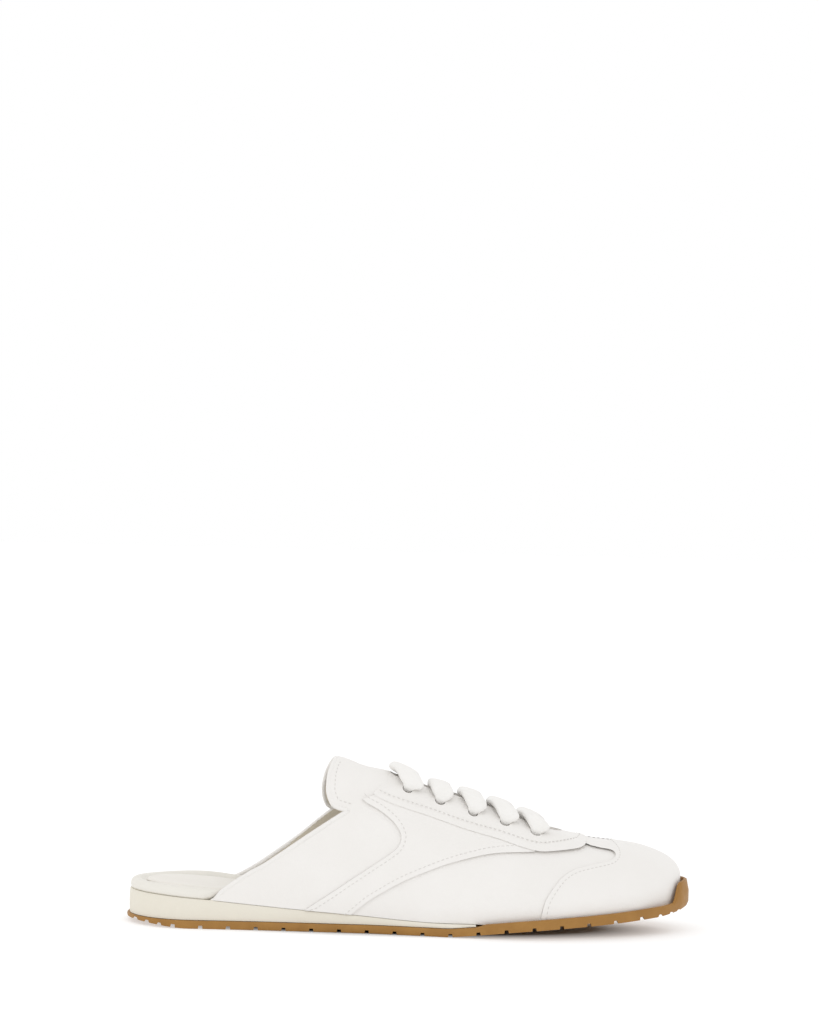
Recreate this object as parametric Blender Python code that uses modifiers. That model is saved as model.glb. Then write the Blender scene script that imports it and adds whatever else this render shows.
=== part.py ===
"""Sneaker mule, right shoe: open-heeled white leather sneaker on a cream wedge and a gum rubber outsole.

Frame: +X to the toe, -Y to the outer (lateral) side, +Z up, origin at the middle of the box's floor.
A share is a length along the shoe from the heel, divided by the whole length.
Heights are shares of the crest height.
"""
import math

import bmesh
import bpy
from mathutils import Matrix, Vector

# Overall sizes, in metres
LENGTH = 0.270
BALL_WIDTH = 0.0894
CREST_HEIGHT = 0.081
TOE_SPRING = 0.0112
HEEL_BEVEL = 0.0020

# Gum outsole
GUM = 0.0038
GUM_LIP_HEEL = 0.0001
GUM_LIP_FORE = 0.0011
GUM_LIP_WIDTH = 0.0016
BUMPER_HEIGHT = 0.0095
BUMPER_LEAN = 0.0010
TOE_UNDER_ROUND = 0.0022
TOE_UNDER_START = 0.93
SOLE_EDGE_ROUND = 0.0006
GROOVE_PITCH = 0.01306
GROOVE_WIDTH = 0.0017
GROOVE_DEPTH = 0.0016
GROOVE_FLARE = 0.0005
FIRST_GROOVE = 0.0223
GROOVES = 18
FINE_GROOVE_WIDTH = 0.0024
FINE_GROOVE_DEPTH = 0.0013
FINE_GROOVES = (0.0164, 0.0368, 0.0587, 0.940, 0.962, 0.977)

# Cream wedge
WEDGE_HEEL = 0.0155
WEDGE_END = 0.611
WEDGE_INSET = 0.0012
WEDGE_EDGE_ROUND = 0.0004

# Footbed and insole
FOOTBED_INSET = 0.0015
FOOTBED_GAP = 0.0010
RIM_HEIGHT = 0.0047
RIM_ROUND = 0.0022
RIM_FADE_START = 0.45
RIM_FADE_END = 0.65
BOARD_HEIGHT = 0.0026
DISH_DEPTH = 0.0017
DISH_INSET = 0.0075
ARCH_RISE = 0.0018
ARCH_START = 0.02
ARCH_FULL = 0.14
INSOLE = 0.0013
INSOLE_ROUND = 0.0008

# Section of the footbed's rim, from its foot outside to its inner slope
RIM_SECTION = (
    # part of the height, depth inside the outline, height kept
    (0.00, 0.0004, 1.00),
    (0.30, -0.0002, 1.00),
    (0.62, 0.0001, 1.00),
    (0.88, RIM_ROUND * 0.4, 1.00),
    (1.00, RIM_ROUND, 1.00),
    (1.00, RIM_ROUND * 1.9, 0.97),
)

# Upper and its overlays
WALL = 0.0020
UPPER_INSET = 0.0016
UPPER_INSET_FORE = 0.0036
UPPER_INSET_TOE = 0.0052
SIDE_BULGE = 0.0011
SIDE_LIFT = 0.0075
TUCK = 0.12
TOE_TIP_HEIGHT = 0.0245
OVERLAY = 0.0009
EYESTAY = 0.0021
PANEL_STEP = 0.0007
TONGUE = 0.0030
TONGUE_HALF_WIDTH = 0.021
THROAT_HALF_WIDTH = 0.0070
EYELET = 0.0052
TONGUE_REAR = 0.429
TONGUE_FRONT = 0.788
CLEARANCE = 0.0003

# Laces
LACE_THICKNESS = 0.0036
LACE_END_WIDTH = 0.0040
LACE_END_THICKNESS = 0.0024
LACE_SAG = 0.0002

# Fineness of the faceted solids
STATIONS = 36
SKIN_STATIONS = 25
SKIN_STEPS = 18
LACE_SIDES = 10
END_CROWDING = 0.85

# Sole seen from above: middle line and half width, as shares of the ball width
SOLE_PLAN = (
    # share, middle, half
    (0.00, 0.000, 0.336),
    (0.20, 0.000, 0.336),
    (0.30, -0.017, 0.330),
    (0.40, -0.036, 0.327),
    (0.50, -0.042, 0.366),
    (0.60, -0.034, 0.436),
    (0.66, -0.020, 0.478),
    (0.72, 0.000, 0.500),
    (0.80, 0.026, 0.500),
    (0.88, 0.052, 0.500),
    (0.95, 0.075, 0.500),
    (1.00, 0.090, 0.500),
)
HEEL_ROUND = 0.111
TOE_ROUND_START = 0.72
TOE_ROUND_POWER = 1.9

# Underside seen from the side: rise as a share of the toe spring
UNDERSIDE = (
    # share, rise
    (0.00, 0.000),
    (0.555, 0.000),
    (0.60, 0.097),
    (0.65, 0.240),
    (0.70, 0.365),
    (0.77, 0.500),
    (0.84, 0.620),
    (0.91, 0.755),
    (0.95, 0.830),
    (0.98, 0.905),
    (1.00, 1.000),
)
BEND_STATIONS = (0.552, 0.568, 0.584, 0.600)
HEEL_BEVEL_END = 0.11
BUMPER_START = 0.968
BUMPER_FULL = 0.986
LIP_START = WEDGE_END + 0.003
LIP_FULL = WEDGE_END + 0.018
SEAT_BLEND_START = WEDGE_END + 0.004
SEAT_BLEND_END = WEDGE_END + 0.05

# Top of the cream wedge, as a share of its height at the heel
WEDGE_TOP = (
    # share, height
    (0.00, 1.000),
    (0.117, 0.903),
    (0.192, 0.790),
    (0.29, 0.655),
    (0.36, 0.580),
    (0.483, 0.435),
    (0.556, 0.390),
    (0.62, 0.400),
)

# The last: crown height as a share of the crest height, crown's sideways place as a share of the ball width,
# and how full each section's side and shoulder are
LAST = (
    # share, crown, sideways, side, shoulder
    (0.14, 1.021, 0.000, 0.55, 0.52),
    (0.30, 1.021, 0.000, 0.55, 0.50),
    (0.373, 0.986, 0.005, 0.55, 0.50),
    (0.413, 0.938, 0.010, 0.54, 0.48),
    (0.459, 0.908, 0.015, 0.53, 0.46),
    (0.528, 0.811, 0.020, 0.51, 0.42),
    (0.587, 0.765, 0.025, 0.49, 0.37),
    (0.642, 0.711, 0.032, 0.46, 0.32),
    (0.697, 0.645, 0.040, 0.46, 0.32),
    (0.727, 0.605, 0.045, 0.47, 0.35),
    (0.757, 0.571, 0.050, 0.49, 0.40),
    (0.79, 0.544, 0.056, 0.52, 0.46),
    (0.84, 0.523, 0.066, 0.56, 0.52),
    (0.89, 0.517, 0.076, 0.58, 0.55),
    (1.00, 0.517, 0.090, 0.58, 0.55),
)
FORE_STEP = (0.50, 0.60)
TOE_STEP = (0.90, 0.96)
UPPER_START = 0.150
STEP_START = UPPER_START - 0.022
STEP_END = UPPER_START - 0.009
STEP_LEAN = 0.021
TOE_DROP_START = 0.80
TOE_DROP_POWER = 2.4

# Collar on the outer side, heel to crest, as shares of length and crest height
COLLAR = (
    # share, height
    (0.146, 0.140),
    (0.164, 0.204),
    (0.183, 0.254),
    (0.212, 0.318),
    (0.240, 0.372),
    (0.266, 0.432),
    (0.314, 0.546),
    (0.352, 0.632),
    (0.378, 0.688),
    (0.386, 0.704),
    (0.379, 0.714),
    (0.362, 0.733),
    (0.355, 0.768),
    (0.351, 0.812),
    (0.351, 0.852),
    (0.353, 0.914),
    (0.359, 0.970),
    (0.366, 0.998),
    (0.374, 1.030),
)
# The same line on the medial side
COLLAR_MEDIAL = (
    # share, height
    (0.136, 0.110),
    (0.150, 0.155),
    (0.168, 0.186),
    (0.200, 0.237),
    (0.229, 0.294),
    (0.256, 0.358),
    (0.303, 0.478),
    (0.336, 0.575),
    (0.356, 0.633),
    (0.363, 0.648),
    (0.357, 0.660),
    (0.350, 0.680),
    (0.345, 0.727),
    (0.343, 0.785),
    (0.345, 0.838),
    (0.349, 0.890),
    (0.357, 0.950),
    (0.365, 0.985),
    (0.374, 1.020),
)
COLLAR_REACH = 0.026

# Seam lines on the outer side, as shares of length and crest height
EYESTAY_EDGE = (
    # share, height
    (0.466, 0.929),
    (0.455, 0.882),
    (0.442, 0.838),
    (0.431, 0.808),
    (0.430, 0.792),
    (0.437, 0.777),
    (0.450, 0.758),
    (0.473, 0.731),
    (0.529, 0.674),
    (0.593, 0.606),
    (0.651, 0.555),
    (0.689, 0.515),
    (0.712, 0.496),
    (0.732, 0.489),
    (0.764, 0.494),
    (0.786, 0.500),
    (0.798, 0.507),
    (0.807, 0.520),
    (0.812, 0.545),
)
PANEL_REAR_EDGE = (
    # share, height
    (0.409, 0.765),
    (0.418, 0.742),
    (0.438, 0.708),
    (0.457, 0.664),
    (0.468, 0.628),
    (0.476, 0.585),
    (0.478, 0.545),
    (0.471, 0.495),
    (0.455, 0.452),
    (0.431, 0.397),
    (0.388, 0.300),
    (0.355, 0.222),
    (0.306, 0.110),
)
PANEL_LOWER_EDGE = (
    # share, height
    (0.388, 0.090),
    (0.414, 0.167),
    (0.436, 0.220),
    (0.481, 0.309),
    (0.520, 0.367),
    (0.559, 0.416),
    (0.599, 0.453),
    (0.627, 0.473),
    (0.651, 0.483),
    (0.672, 0.486),
    (0.700, 0.487),
)
TOE_CAP_EDGE = (
    # share, height
    (0.816, 0.512),
    (0.835, 0.500),
    (0.848, 0.494),
    (0.857, 0.483),
    (0.859, 0.465),
    (0.853, 0.447),
    (0.840, 0.435),
    (0.813, 0.420),
    (0.785, 0.399),
    (0.766, 0.369),
    (0.753, 0.333),
    (0.736, 0.262),
    (0.727, 0.200),
    (0.722, 0.110),
)
EYESTAY_CORNER_ROW = 5
THROAT_START = 0.459
THROAT_END = 0.768
THROAT_REAR_SHARE = 0.8
THROAT_FLOOR = 0.35

# How far cutters reach past the shoe, as a share of its sizes
CUT_REACH = 1.6

# Each eyelet and its lace bar: the bar's width and how far it leans to the heel at the crown, in metres
EYELETS = (
    # share, height, width, lean
    (0.487, 0.806, 0.0135, 0.0028),
    (0.547, 0.736, 0.0108, 0.0006),
    (0.607, 0.675, 0.0110, 0.0020),
    (0.665, 0.620, 0.0118, 0.0030),
    (0.721, 0.562, 0.0118, 0.0038),
)

HALF_LENGTH = LENGTH / 2
LATERAL = -1
MEDIAL = 1


def read_table(rows, share, column=1):
    """Smooth reading of one column of a table between its rows."""
    last = len(rows) - 1
    if share <= rows[0][0]:
        return rows[0][column]
    if share >= rows[last][0]:
        return rows[last][column]
    low = max(k for k in range(last) if rows[k][0] <= share)

    def slope(k):
        """Slope at row k, level where the column turns."""
        if k == 0 or k == last:
            return 0.0
        before = (rows[k][column] - rows[k - 1][column]) / (rows[k][0] - rows[k - 1][0])
        after = (rows[k + 1][column] - rows[k][column]) / (rows[k + 1][0] - rows[k][0])
        if before * after <= 0:
            return 0.0
        return 2 * before * after / (before + after)

    width = rows[low + 1][0] - rows[low][0]
    t = (share - rows[low][0]) / width
    start, end = rows[low][column], rows[low + 1][column]
    return (
        start * (2 * t**3 - 3 * t**2 + 1)
        + slope(low) * width * (t**3 - 2 * t**2 + t)
        + end * (3 * t**2 - 2 * t**3)
        + slope(low + 1) * width * (t**3 - t**2)
    )


def ease(value, low, high):
    """0 below low, 1 above high, smooth between."""
    t = min(1.0, max(0.0, (value - low) / (high - low)))
    return t * t * (3 - 2 * t)


def end_round(share):
    """How much of its width the shoe has near its rounded heel and toe."""
    if share < HEEL_ROUND:
        t = 1 - share / HEEL_ROUND
        return math.sqrt(max(0.0, 1 - t * t))
    if share > TOE_ROUND_START:
        t = (share - TOE_ROUND_START) / (1 - TOE_ROUND_START)
        return max(0.0, 1 - t**TOE_ROUND_POWER) ** (1 / TOE_ROUND_POWER)
    return 1.0


def plan_x(share, inset=0.0):
    """X of a share of an outline that lies inset inside the sole's."""
    return -HALF_LENGTH + inset + share * (LENGTH - 2 * inset)


def plan_y(share, side, inset=0.0):
    """Y of the outline on one side, from the shoe's middle line."""
    middle = read_table(SOLE_PLAN, share, 1) * BALL_WIDTH
    half = (read_table(SOLE_PLAN, share, 2) * BALL_WIDTH - inset) * end_round(share)
    return middle + side * half - BOX_MIDDLE


def box_middle():
    """Middle of the sole's box across the shoe, where the origin lies."""
    shares = [k / 200 for k in range(201)]
    reach = {LATERAL: 0.0, MEDIAL: 0.0}
    for side in reach:
        reach[side] = max(
            side * read_table(SOLE_PLAN, s, 1) * BALL_WIDTH
            + read_table(SOLE_PLAN, s, 2) * BALL_WIDTH * end_round(s)
            for s in shares
        )
    return (reach[MEDIAL] - reach[LATERAL]) / 2


BOX_MIDDLE = box_middle()


def spring(share):
    """Height of the sole's underside, without the heel's bevel."""
    return read_table(UNDERSIDE, share) * TOE_SPRING


def underside(share):
    """Height of the sole's underside."""
    return spring(share) + HEEL_BEVEL * (1 - ease(share, 0.0, HEEL_BEVEL_END))


def gum_top(share):
    """Height of the face of the gum that carries the wedge and the upper."""
    return spring(share) + GUM


def lip(share):
    """Height of the gum's lip over that face, with the bumper at the toe."""
    fore = GUM_LIP_HEEL + (GUM_LIP_FORE - GUM_LIP_HEEL) * ease(share, LIP_START, LIP_FULL)
    return fore + (BUMPER_HEIGHT - GUM_LIP_FORE) * ease(share, BUMPER_START, BUMPER_FULL)


def wedge_top(share):
    """Height of the top of the cream wedge."""
    return read_table(WEDGE_TOP, share) * WEDGE_HEEL


def seat(share):
    """Height that the upper and the footbed stand on, clear of what is below."""
    on_wedge = wedge_top(min(share, WEDGE_END))
    blend = ease(share, SEAT_BLEND_START, SEAT_BLEND_END)
    return on_wedge + (gum_top(share) - on_wedge) * blend + CLEARANCE


def stations(count, start=0.0, end=1.0, crowd_start=True):
    """Shares from start to end, crowded towards the toe and, if asked, towards the heel."""
    shares = []
    for k in range(count + 1):
        t = k / count
        if crowd_start:
            t -= END_CROWDING * math.sin(2 * math.pi * t) / (2 * math.pi)
        else:
            t += END_CROWDING * math.sin(math.pi * t) / math.pi
        shares.append(start + (end - start) * t)
    return shares


# Collections and finishes
def collection(name):
    """A new collection in the scene."""
    group = bpy.data.collections.new(name)
    bpy.context.scene.collection.children.link(group)
    return group


def material(name, colour, roughness):
    """Plain finish with the part's colour."""
    finish = bpy.data.materials.new(name)
    finish.use_nodes = True
    shader = finish.node_tree.nodes["Principled BSDF"]
    shader.inputs["Base Color"].default_value = (*colour, 1.0)
    shader.inputs["Roughness"].default_value = roughness
    shader.inputs["Metallic"].default_value = 0.0
    return finish


def add_object(name, shape, group, finish=None):
    """Makes an object of a bmesh and puts it in a collection."""
    bmesh.ops.recalc_face_normals(shape, faces=shape.faces)
    mesh = bpy.data.meshes.new(name)
    shape.to_mesh(mesh)
    shape.free()
    item = bpy.data.objects.new(name, mesh)
    group.objects.link(item)
    if finish:
        mesh.materials.append(finish)
    return item


def hide_cutter(item):
    """A cutter shapes other pieces and isn't one itself."""
    item.hide_render = True
    item.display_type = "WIRE"
    return item


def boolean(item, cutter, operation="DIFFERENCE"):
    """Cuts or keeps what a cutter covers."""
    step = item.modifiers.new(cutter.name, "BOOLEAN")
    step.operation = operation
    step.object = cutter
    step.solver = "EXACT"
    return step


# Shape makers
def loft(rings, ladder=False):
    """Closed body through rings of equal count, capped by rungs between its two sides or by one face."""
    shape = bmesh.new()
    loops = [[shape.verts.new(point) for point in ring] for ring in rings]
    count = len(loops[0])
    for lower, upper in zip(loops, loops[1:]):
        for k in range(count):
            nxt = (k + 1) % count
            shape.faces.new((lower[k], lower[nxt], upper[nxt], upper[k]))
    for ring in (loops[0], loops[-1]):
        if not ladder:
            shape.faces.new(ring)
            continue
        for k in range(count // 2):
            corners = [ring[k], ring[(k + 1) % count], ring[count - k - 2], ring[count - k - 1]]
            unique = list(dict.fromkeys(corners))
            if len(unique) > 2:
                shape.faces.new(unique)
    bmesh.ops.remove_doubles(shape, verts=shape.verts, dist=1e-6)
    return shape


def sole_ring(shares, inset, height):
    """Ring round the shoe at an inset and a height, both functions of share and side."""
    ring = []
    for side, order in ((LATERAL, shares), (MEDIAL, shares[::-1])):
        for share in order:
            gap = inset(share, side)
            ring.append(Vector((plan_x(share, gap), plan_y(share, side, gap), height(share, side))))
    return ring


def prism(name, outline, group, medial=None, reach=1.0):
    """Cutter: an outline seen from the side, pushed across the shoe, towards a second one if it has one."""
    far = BALL_WIDTH / 2 * CUT_REACH
    rings = []
    for y in (-far, far):
        part = (y + reach) / (2 * reach)
        ring = []
        for (x, z), (medial_x, medial_z) in zip(outline, medial or outline):
            ring.append(Vector((x + (medial_x - x) * part, y, z + (medial_z - z) * part)))
        rings.append(ring)
    return hide_cutter(add_object(name, loft(rings), group))


def smooth_line(rows, steps=3):
    """Points in metres along a smooth curve through a table of shares."""
    points = [Vector((plan_x(share), height * CREST_HEIGHT)) for share, height in rows]
    line = []
    for k in range(len(points) - 1):
        before = points[max(k - 1, 0)]
        start, end = points[k], points[k + 1]
        after = points[min(k + 2, len(points) - 1)]
        for j in range(steps):
            t = j / steps
            pull = (end - before) / 2
            leave = (after - start) / 2
            line.append(
                start * (2 * t**3 - 3 * t**2 + 1)
                + pull * (t**3 - 2 * t**2 + t)
                + end * (3 * t**2 - 2 * t**3)
                + leave * (t**3 - t**2)
            )
    line.append(points[-1])
    return [(p.x, p.y) for p in line]


# The last's own surface
def upper_inset(share):
    """How far the upper's foot stands inside the sole: flush on the wedge, behind the lip and bumper."""
    fore = (UPPER_INSET_FORE - UPPER_INSET) * ease(share, *FORE_STEP)
    toe = (UPPER_INSET_TOE - UPPER_INSET_FORE) * ease(share, *TOE_STEP)
    return UPPER_INSET + fore + toe


def section(share):
    """Foot, waist and crown of the last's section at a share of the sole's length."""
    foot_z = seat(share)
    crown = read_table(LAST, share, 1) * CREST_HEIGHT
    if share > TOE_DROP_START:
        t = (share - TOE_DROP_START) / (1 - TOE_DROP_START)
        kept = max(0.0, 1 - t**TOE_DROP_POWER) ** (1 / TOE_DROP_POWER)
        crown = TOE_TIP_HEIGHT + (crown - TOE_TIP_HEIGHT) * kept
    lift = min(SIDE_LIFT, 0.4 * (crown - foot_z))
    return foot_z, foot_z + lift, crown


def skin(share, around):
    """Point of the upper's outer skin. around runs from -1 at the lateral foot, over the crown, to 1."""
    inset = upper_inset(share)
    foot_z, waist_z, crown_z = section(share)
    side = LATERAL if around < 0 else MEDIAL
    round_off = end_round(share)
    bulge = SIDE_BULGE * ease(share, 0.3, 0.6) * round_off
    middle = read_table(SOLE_PLAN, share, 1) * BALL_WIDTH
    half = (read_table(SOLE_PLAN, share, 2) * BALL_WIDTH - inset) * round_off + bulge
    crown_shift = read_table(LAST, share, 2) * BALL_WIDTH - middle
    height_share = 1 - abs(around)
    if height_share < TUCK:
        low = 1 - height_share / TUCK
        out = half - bulge * low * low
        z = waist_z - (waist_z - foot_z) * low
        over = 0.0
    else:
        t = (height_share - TUCK) / (1 - TUCK)
        side_full = read_table(LAST, share, 3)
        shoulder = read_table(LAST, share, 4)
        over = 3 * (1 - t) ** 2 * t * side_full + 3 * (1 - t) * t * t + t**3
        out = half * ((1 - t) ** 3 + 3 * (1 - t) ** 2 * t + 3 * (1 - t) * t * t * shoulder)
        z = waist_z + (crown_z - waist_z) * over
    y = middle + crown_shift * over + side * out - BOX_MIDDLE
    return Vector((plan_x(share, inset), y, z))


def skin_sheet(name, inner, outer, group, finish):
    """Closed layer of the upper between two distances from its outer skin, along the skin's normals."""
    shape = bmesh.new()
    shares = stations(SKIN_STATIONS, UPPER_START, 1.0, crowd_start=False)
    across = SKIN_STEPS
    bmesh.ops.create_grid(shape, x_segments=len(shares) - 1, y_segments=across, size=1.0)
    for vert in shape.verts:
        station = round((vert.co.x + 1) / 2 * (len(shares) - 1))
        vert.co = skin(shares[station], vert.co.y)
    bmesh.ops.remove_doubles(shape, verts=shape.verts, dist=1e-5)
    bmesh.ops.triangulate(shape, faces=shape.faces, quad_method="FIXED")
    item = add_object(name, shape, group, finish)
    if item.data.polygons[0].normal.y > 0 and item.data.polygons[0].center.y < 0:
        item.data.flip_normals()
    thick = outer - inner
    shell = item.modifiers.new("thickness", "SOLIDIFY")
    shell.thickness = thick
    shell.offset = (outer + inner) / thick
    shell.use_even_offset = False
    return item


def around_at_height(share, height, side):
    """Where round the section the skin has a height, on one side."""
    low, high = TUCK, 1.0
    for _ in range(40):
        mid = (low + high) / 2
        if skin(share, side * (1 - mid)).z < height:
            low = mid
        else:
            high = mid
    return side * (1 - low)


def skin_frame(share, around):
    """Point of the skin with its direction towards the toe and its outward normal."""
    along = (skin(share + 0.004, around) - skin(share - 0.004, around)).normalized()
    across = skin(share, around + 0.01) - skin(share, around - 0.01)
    normal = along.cross(across).normalized()
    return skin(share, around), along, normal


# Sub-parts
def make_outsole(group, cutters):
    """Gum outsole with toe bumper, side lip and cross grooves."""
    shares = sorted(stations(STATIONS) + [*BEND_STATIONS, LIP_START, LIP_FULL])

    def inset(depth):
        return lambda share, side: depth

    def bumper_lean(depth):
        """The bumper stands upright at its foot and leans back over its height."""
        return lambda share, side: depth + BUMPER_LEAN * ease(share, BUMPER_START, BUMPER_FULL)

    def low(share, side):
        return underside(share)

    def side_low(share, side):
        return underside(share) + SOLE_EDGE_ROUND + TOE_UNDER_ROUND * ease(share, TOE_UNDER_START, 1.0)

    def side_high(share, side):
        return gum_top(share) + lip(share) - SOLE_EDGE_ROUND

    def top(share, side):
        return gum_top(share) + lip(share)

    def carry(share, side):
        return gum_top(share)

    def toe_under(share, side):
        return SOLE_EDGE_ROUND + TOE_UNDER_ROUND * ease(share, TOE_UNDER_START, 1.0)

    rings = [
        sole_ring(shares, toe_under, low),
        sole_ring(shares, inset(0.0), side_low),
        sole_ring(shares, bumper_lean(0.0), side_high),
        sole_ring(shares, bumper_lean(SOLE_EDGE_ROUND), top),
        sole_ring(shares, bumper_lean(GUM_LIP_WIDTH), top),
        sole_ring(shares, inset(GUM_LIP_WIDTH + CLEARANCE), carry),
    ]
    item = add_object("outsole", loft(rings, ladder=True), group, material("gum", (0.36, 0.17, 0.055), 0.55))
    grooves = bmesh.new()
    for k in range(GROOVES):
        add_groove(grooves, FIRST_GROOVE + k * GROOVE_PITCH, GROOVE_WIDTH, GROOVE_DEPTH, GROOVE_FLARE)
    for share in FINE_GROOVES:
        add_groove(grooves, share * LENGTH, FINE_GROOVE_WIDTH / 2, FINE_GROOVE_DEPTH, FINE_GROOVE_WIDTH / 2)
    cutter = hide_cutter(add_object("groove_cutter", grooves, cutters))
    boolean(item, cutter)
    return item


def add_groove(shape, place, width, depth, flare):
    """One cross groove, narrower at its bottom, square to the underside at its place."""
    share = place / LENGTH
    slope = math.atan2(underside(share + 0.01) - underside(share - 0.01), 0.02 * LENGTH)
    below = 0.006
    made = bmesh.ops.create_cube(shape, size=1.0)["verts"]
    bmesh.ops.scale(shape, verts=made, vec=(width, BALL_WIDTH * CUT_REACH, depth + below))
    bmesh.ops.translate(shape, verts=made, vec=(0, 0, (depth - below) / 2))
    for vert in made:
        if vert.co.z < 0:
            vert.co.x *= 1 + flare / width * (below + depth) / depth
    turn = Matrix.Rotation(-slope, 4, "Y")
    bmesh.ops.transform(shape, verts=made, matrix=turn)
    bmesh.ops.translate(shape, verts=made, vec=(place - HALF_LENGTH, 0, underside(share)))


def make_midsole(group):
    """Cream foam wedge, thick at the heel and thin at the ball."""
    shares = [WEDGE_END - share * WEDGE_END for share in stations(STATIONS // 2 + 6, crowd_start=False)]
    shares = sorted(shares + list(BEND_STATIONS))

    def inset(depth):
        return lambda share, side: WEDGE_INSET + depth

    def low(share, side):
        return gum_top(share) + CLEARANCE

    def side_high(share, side):
        return wedge_top(share) - WEDGE_EDGE_ROUND

    def top(share, side):
        return wedge_top(share)

    rings = [
        sole_ring(shares, inset(0.0), low),
        sole_ring(shares, inset(0.0), side_high),
        sole_ring(shares, inset(WEDGE_EDGE_ROUND), top),
    ]
    finish = material("cream_foam", (0.78, 0.74, 0.65), 0.6)
    return add_object("midsole", loft(rings, ladder=True), group, finish)


def footbed_inset(share, part):
    """The wrapped seat shows at the heel and steps in behind the wings, whose ends slant over its rim."""
    inside = upper_inset(share) + WALL + FOOTBED_GAP
    lean = STEP_LEAN * part
    return FOOTBED_INSET + (inside - FOOTBED_INSET) * ease(share, STEP_START + lean, STEP_END + lean)


def footbed_stations():
    """Stations with more of them at the step under the wings."""
    step = [STEP_START, STEP_END, STEP_START + STEP_LEAN, STEP_END + STEP_LEAN]
    return sorted(stations(STATIONS) + step)


def arch(share, side):
    """Extra height of the rim on the medial side, towards the arch."""
    return ARCH_RISE * ease(share, ARCH_START, ARCH_FULL) * (1 + side) / 2


def rim_height(share):
    """Height of the footbed's rim, lower in the forefoot where only the board runs on."""
    return RIM_HEIGHT + (BOARD_HEIGHT - RIM_HEIGHT) * ease(share, RIM_FADE_START, RIM_FADE_END)


def dish(share):
    """Height of the footbed's dish, which carries the insole."""
    return seat(share) + rim_height(share) * (1 - DISH_DEPTH / RIM_HEIGHT)


def make_footbed(group):
    """Leather-wrapped heel seat and board, with a rounded rim round a shallow dish."""
    shares = footbed_stations()

    def ring(part, depth, drop):
        """One ring round the rim, part of the rim's height up."""
        return sole_ring(
            shares,
            lambda share, side: footbed_inset(share, part) + depth,
            lambda share, side: seat(share) + (rim_height(share) + arch(share, side)) * part * drop,
        )

    rings = [ring(*row) for row in RIM_SECTION]
    rings.append(
        sole_ring(
            shares,
            lambda share, side: footbed_inset(share, 1.0) + DISH_INSET,
            lambda share, side: dish(share),
        )
    )
    finish = material("footbed_leather", (0.80, 0.76, 0.68), 0.5)
    return add_object("footbed", loft(rings, ladder=True), group, finish)


def make_insole(group):
    """Sock lining laid in the footbed's dish."""
    shares = footbed_stations()

    def ring(depth, part):
        """One ring round the lining, part of its thickness up."""
        return sole_ring(
            shares,
            lambda share, side: footbed_inset(share, 1.0) + DISH_INSET + 2 * CLEARANCE + depth,
            lambda share, side: dish(share) + CLEARANCE + INSOLE * part,
        )

    finish = material("sock_lining", (0.84, 0.80, 0.73), 0.6)
    rings = [ring(0.0, 0.0), ring(INSOLE_ROUND / 8, 0.6), ring(INSOLE_ROUND, 1.0)]
    return add_object("insole", loft(rings, ladder=True), group, finish)


def collar_cutter(cutters):
    """All that is open behind and above the collar line, whose medial side runs further back."""
    high = CREST_HEIGHT * CUT_REACH
    back = -HALF_LENGTH * CUT_REACH
    outlines = []
    for rows in (COLLAR, COLLAR_MEDIAL):
        line = smooth_line(rows)
        outlines.append(line + [(line[-1][0] + 0.002, high), (back, high), (back, line[0][1])])
    return prism("collar_cutter", outlines[0], cutters, outlines[1], COLLAR_REACH)


def throat_cutter(cutters):
    """Long slot over the tongue, round at its front."""
    shape = bmesh.new()
    start, end = plan_x(THROAT_START), plan_x(THROAT_END)
    half = THROAT_HALF_WIDTH
    middle = read_table(LAST, THROAT_START, 2) * BALL_WIDTH - BOX_MIDDLE
    front = read_table(LAST, THROAT_END, 2) * BALL_WIDTH - BOX_MIDDLE
    rear_half = half * THROAT_REAR_SHARE
    outline = [(start, middle + rear_half), (start, middle - rear_half)]
    round_steps = 8
    for k in range(round_steps + 1):
        angle = -math.pi / 2 + math.pi * k / round_steps
        outline.append((end - half + half * math.cos(angle), front + half * math.sin(angle)))
    floor = CREST_HEIGHT * THROAT_FLOOR
    face = shape.faces.new([shape.verts.new((x, y, floor)) for x, y in outline])
    pushed = bmesh.ops.extrude_face_region(shape, geom=[face])
    moved = [v for v in pushed["geom"] if isinstance(v, bmesh.types.BMVert)]
    bmesh.ops.translate(shape, verts=moved, vec=(0, 0, CREST_HEIGHT))
    return hide_cutter(add_object("throat_cutter", shape, cutters))


def eyelet_cutter(cutters):
    """Ten round holes square to the skin."""
    shape = bmesh.new()
    for share, height, _, _ in EYELETS:
        for side in (LATERAL, MEDIAL):
            around = around_at_height(share, height * CREST_HEIGHT, side)
            point, _, normal = skin_frame(share, around)
            turn = Vector((0, 0, 1)).rotation_difference(normal).to_matrix().to_4x4()
            place = Matrix.Translation(point) @ turn
            bmesh.ops.create_cone(
                shape, cap_ends=True, segments=10, radius1=EYELET / 2, radius2=EYELET / 2,
                depth=4 * (WALL + EYESTAY), matrix=place,
            )
    return hide_cutter(add_object("eyelet_cutter", shape, cutters))


def make_upper(group, cutters, finish):
    """One hollow wall: vamp, quarters, crest and bridge, open at the collar, the throat and underneath."""
    item = skin_sheet("upper", -WALL, 0.0, group, finish)
    for cutter in cutters:
        boolean(item, cutter)
    return item


def side_panel_outline():
    """Side panel between its two seam lines, up to the eyestay's edge."""
    rear = smooth_line(PANEL_REAR_EDGE)
    lower = smooth_line(PANEL_LOWER_EDGE)
    tip = lower[-1][0]
    upper = smooth_line(EYESTAY_EDGE[EYESTAY_CORNER_ROW:])
    under = [(x, z - PANEL_STEP) for x, z in reversed(upper) if x < tip]
    foot = [(rear[-1][0], 0.0), (lower[0][0], 0.0)]
    return rear + foot + lower[:-1] + under


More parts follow.
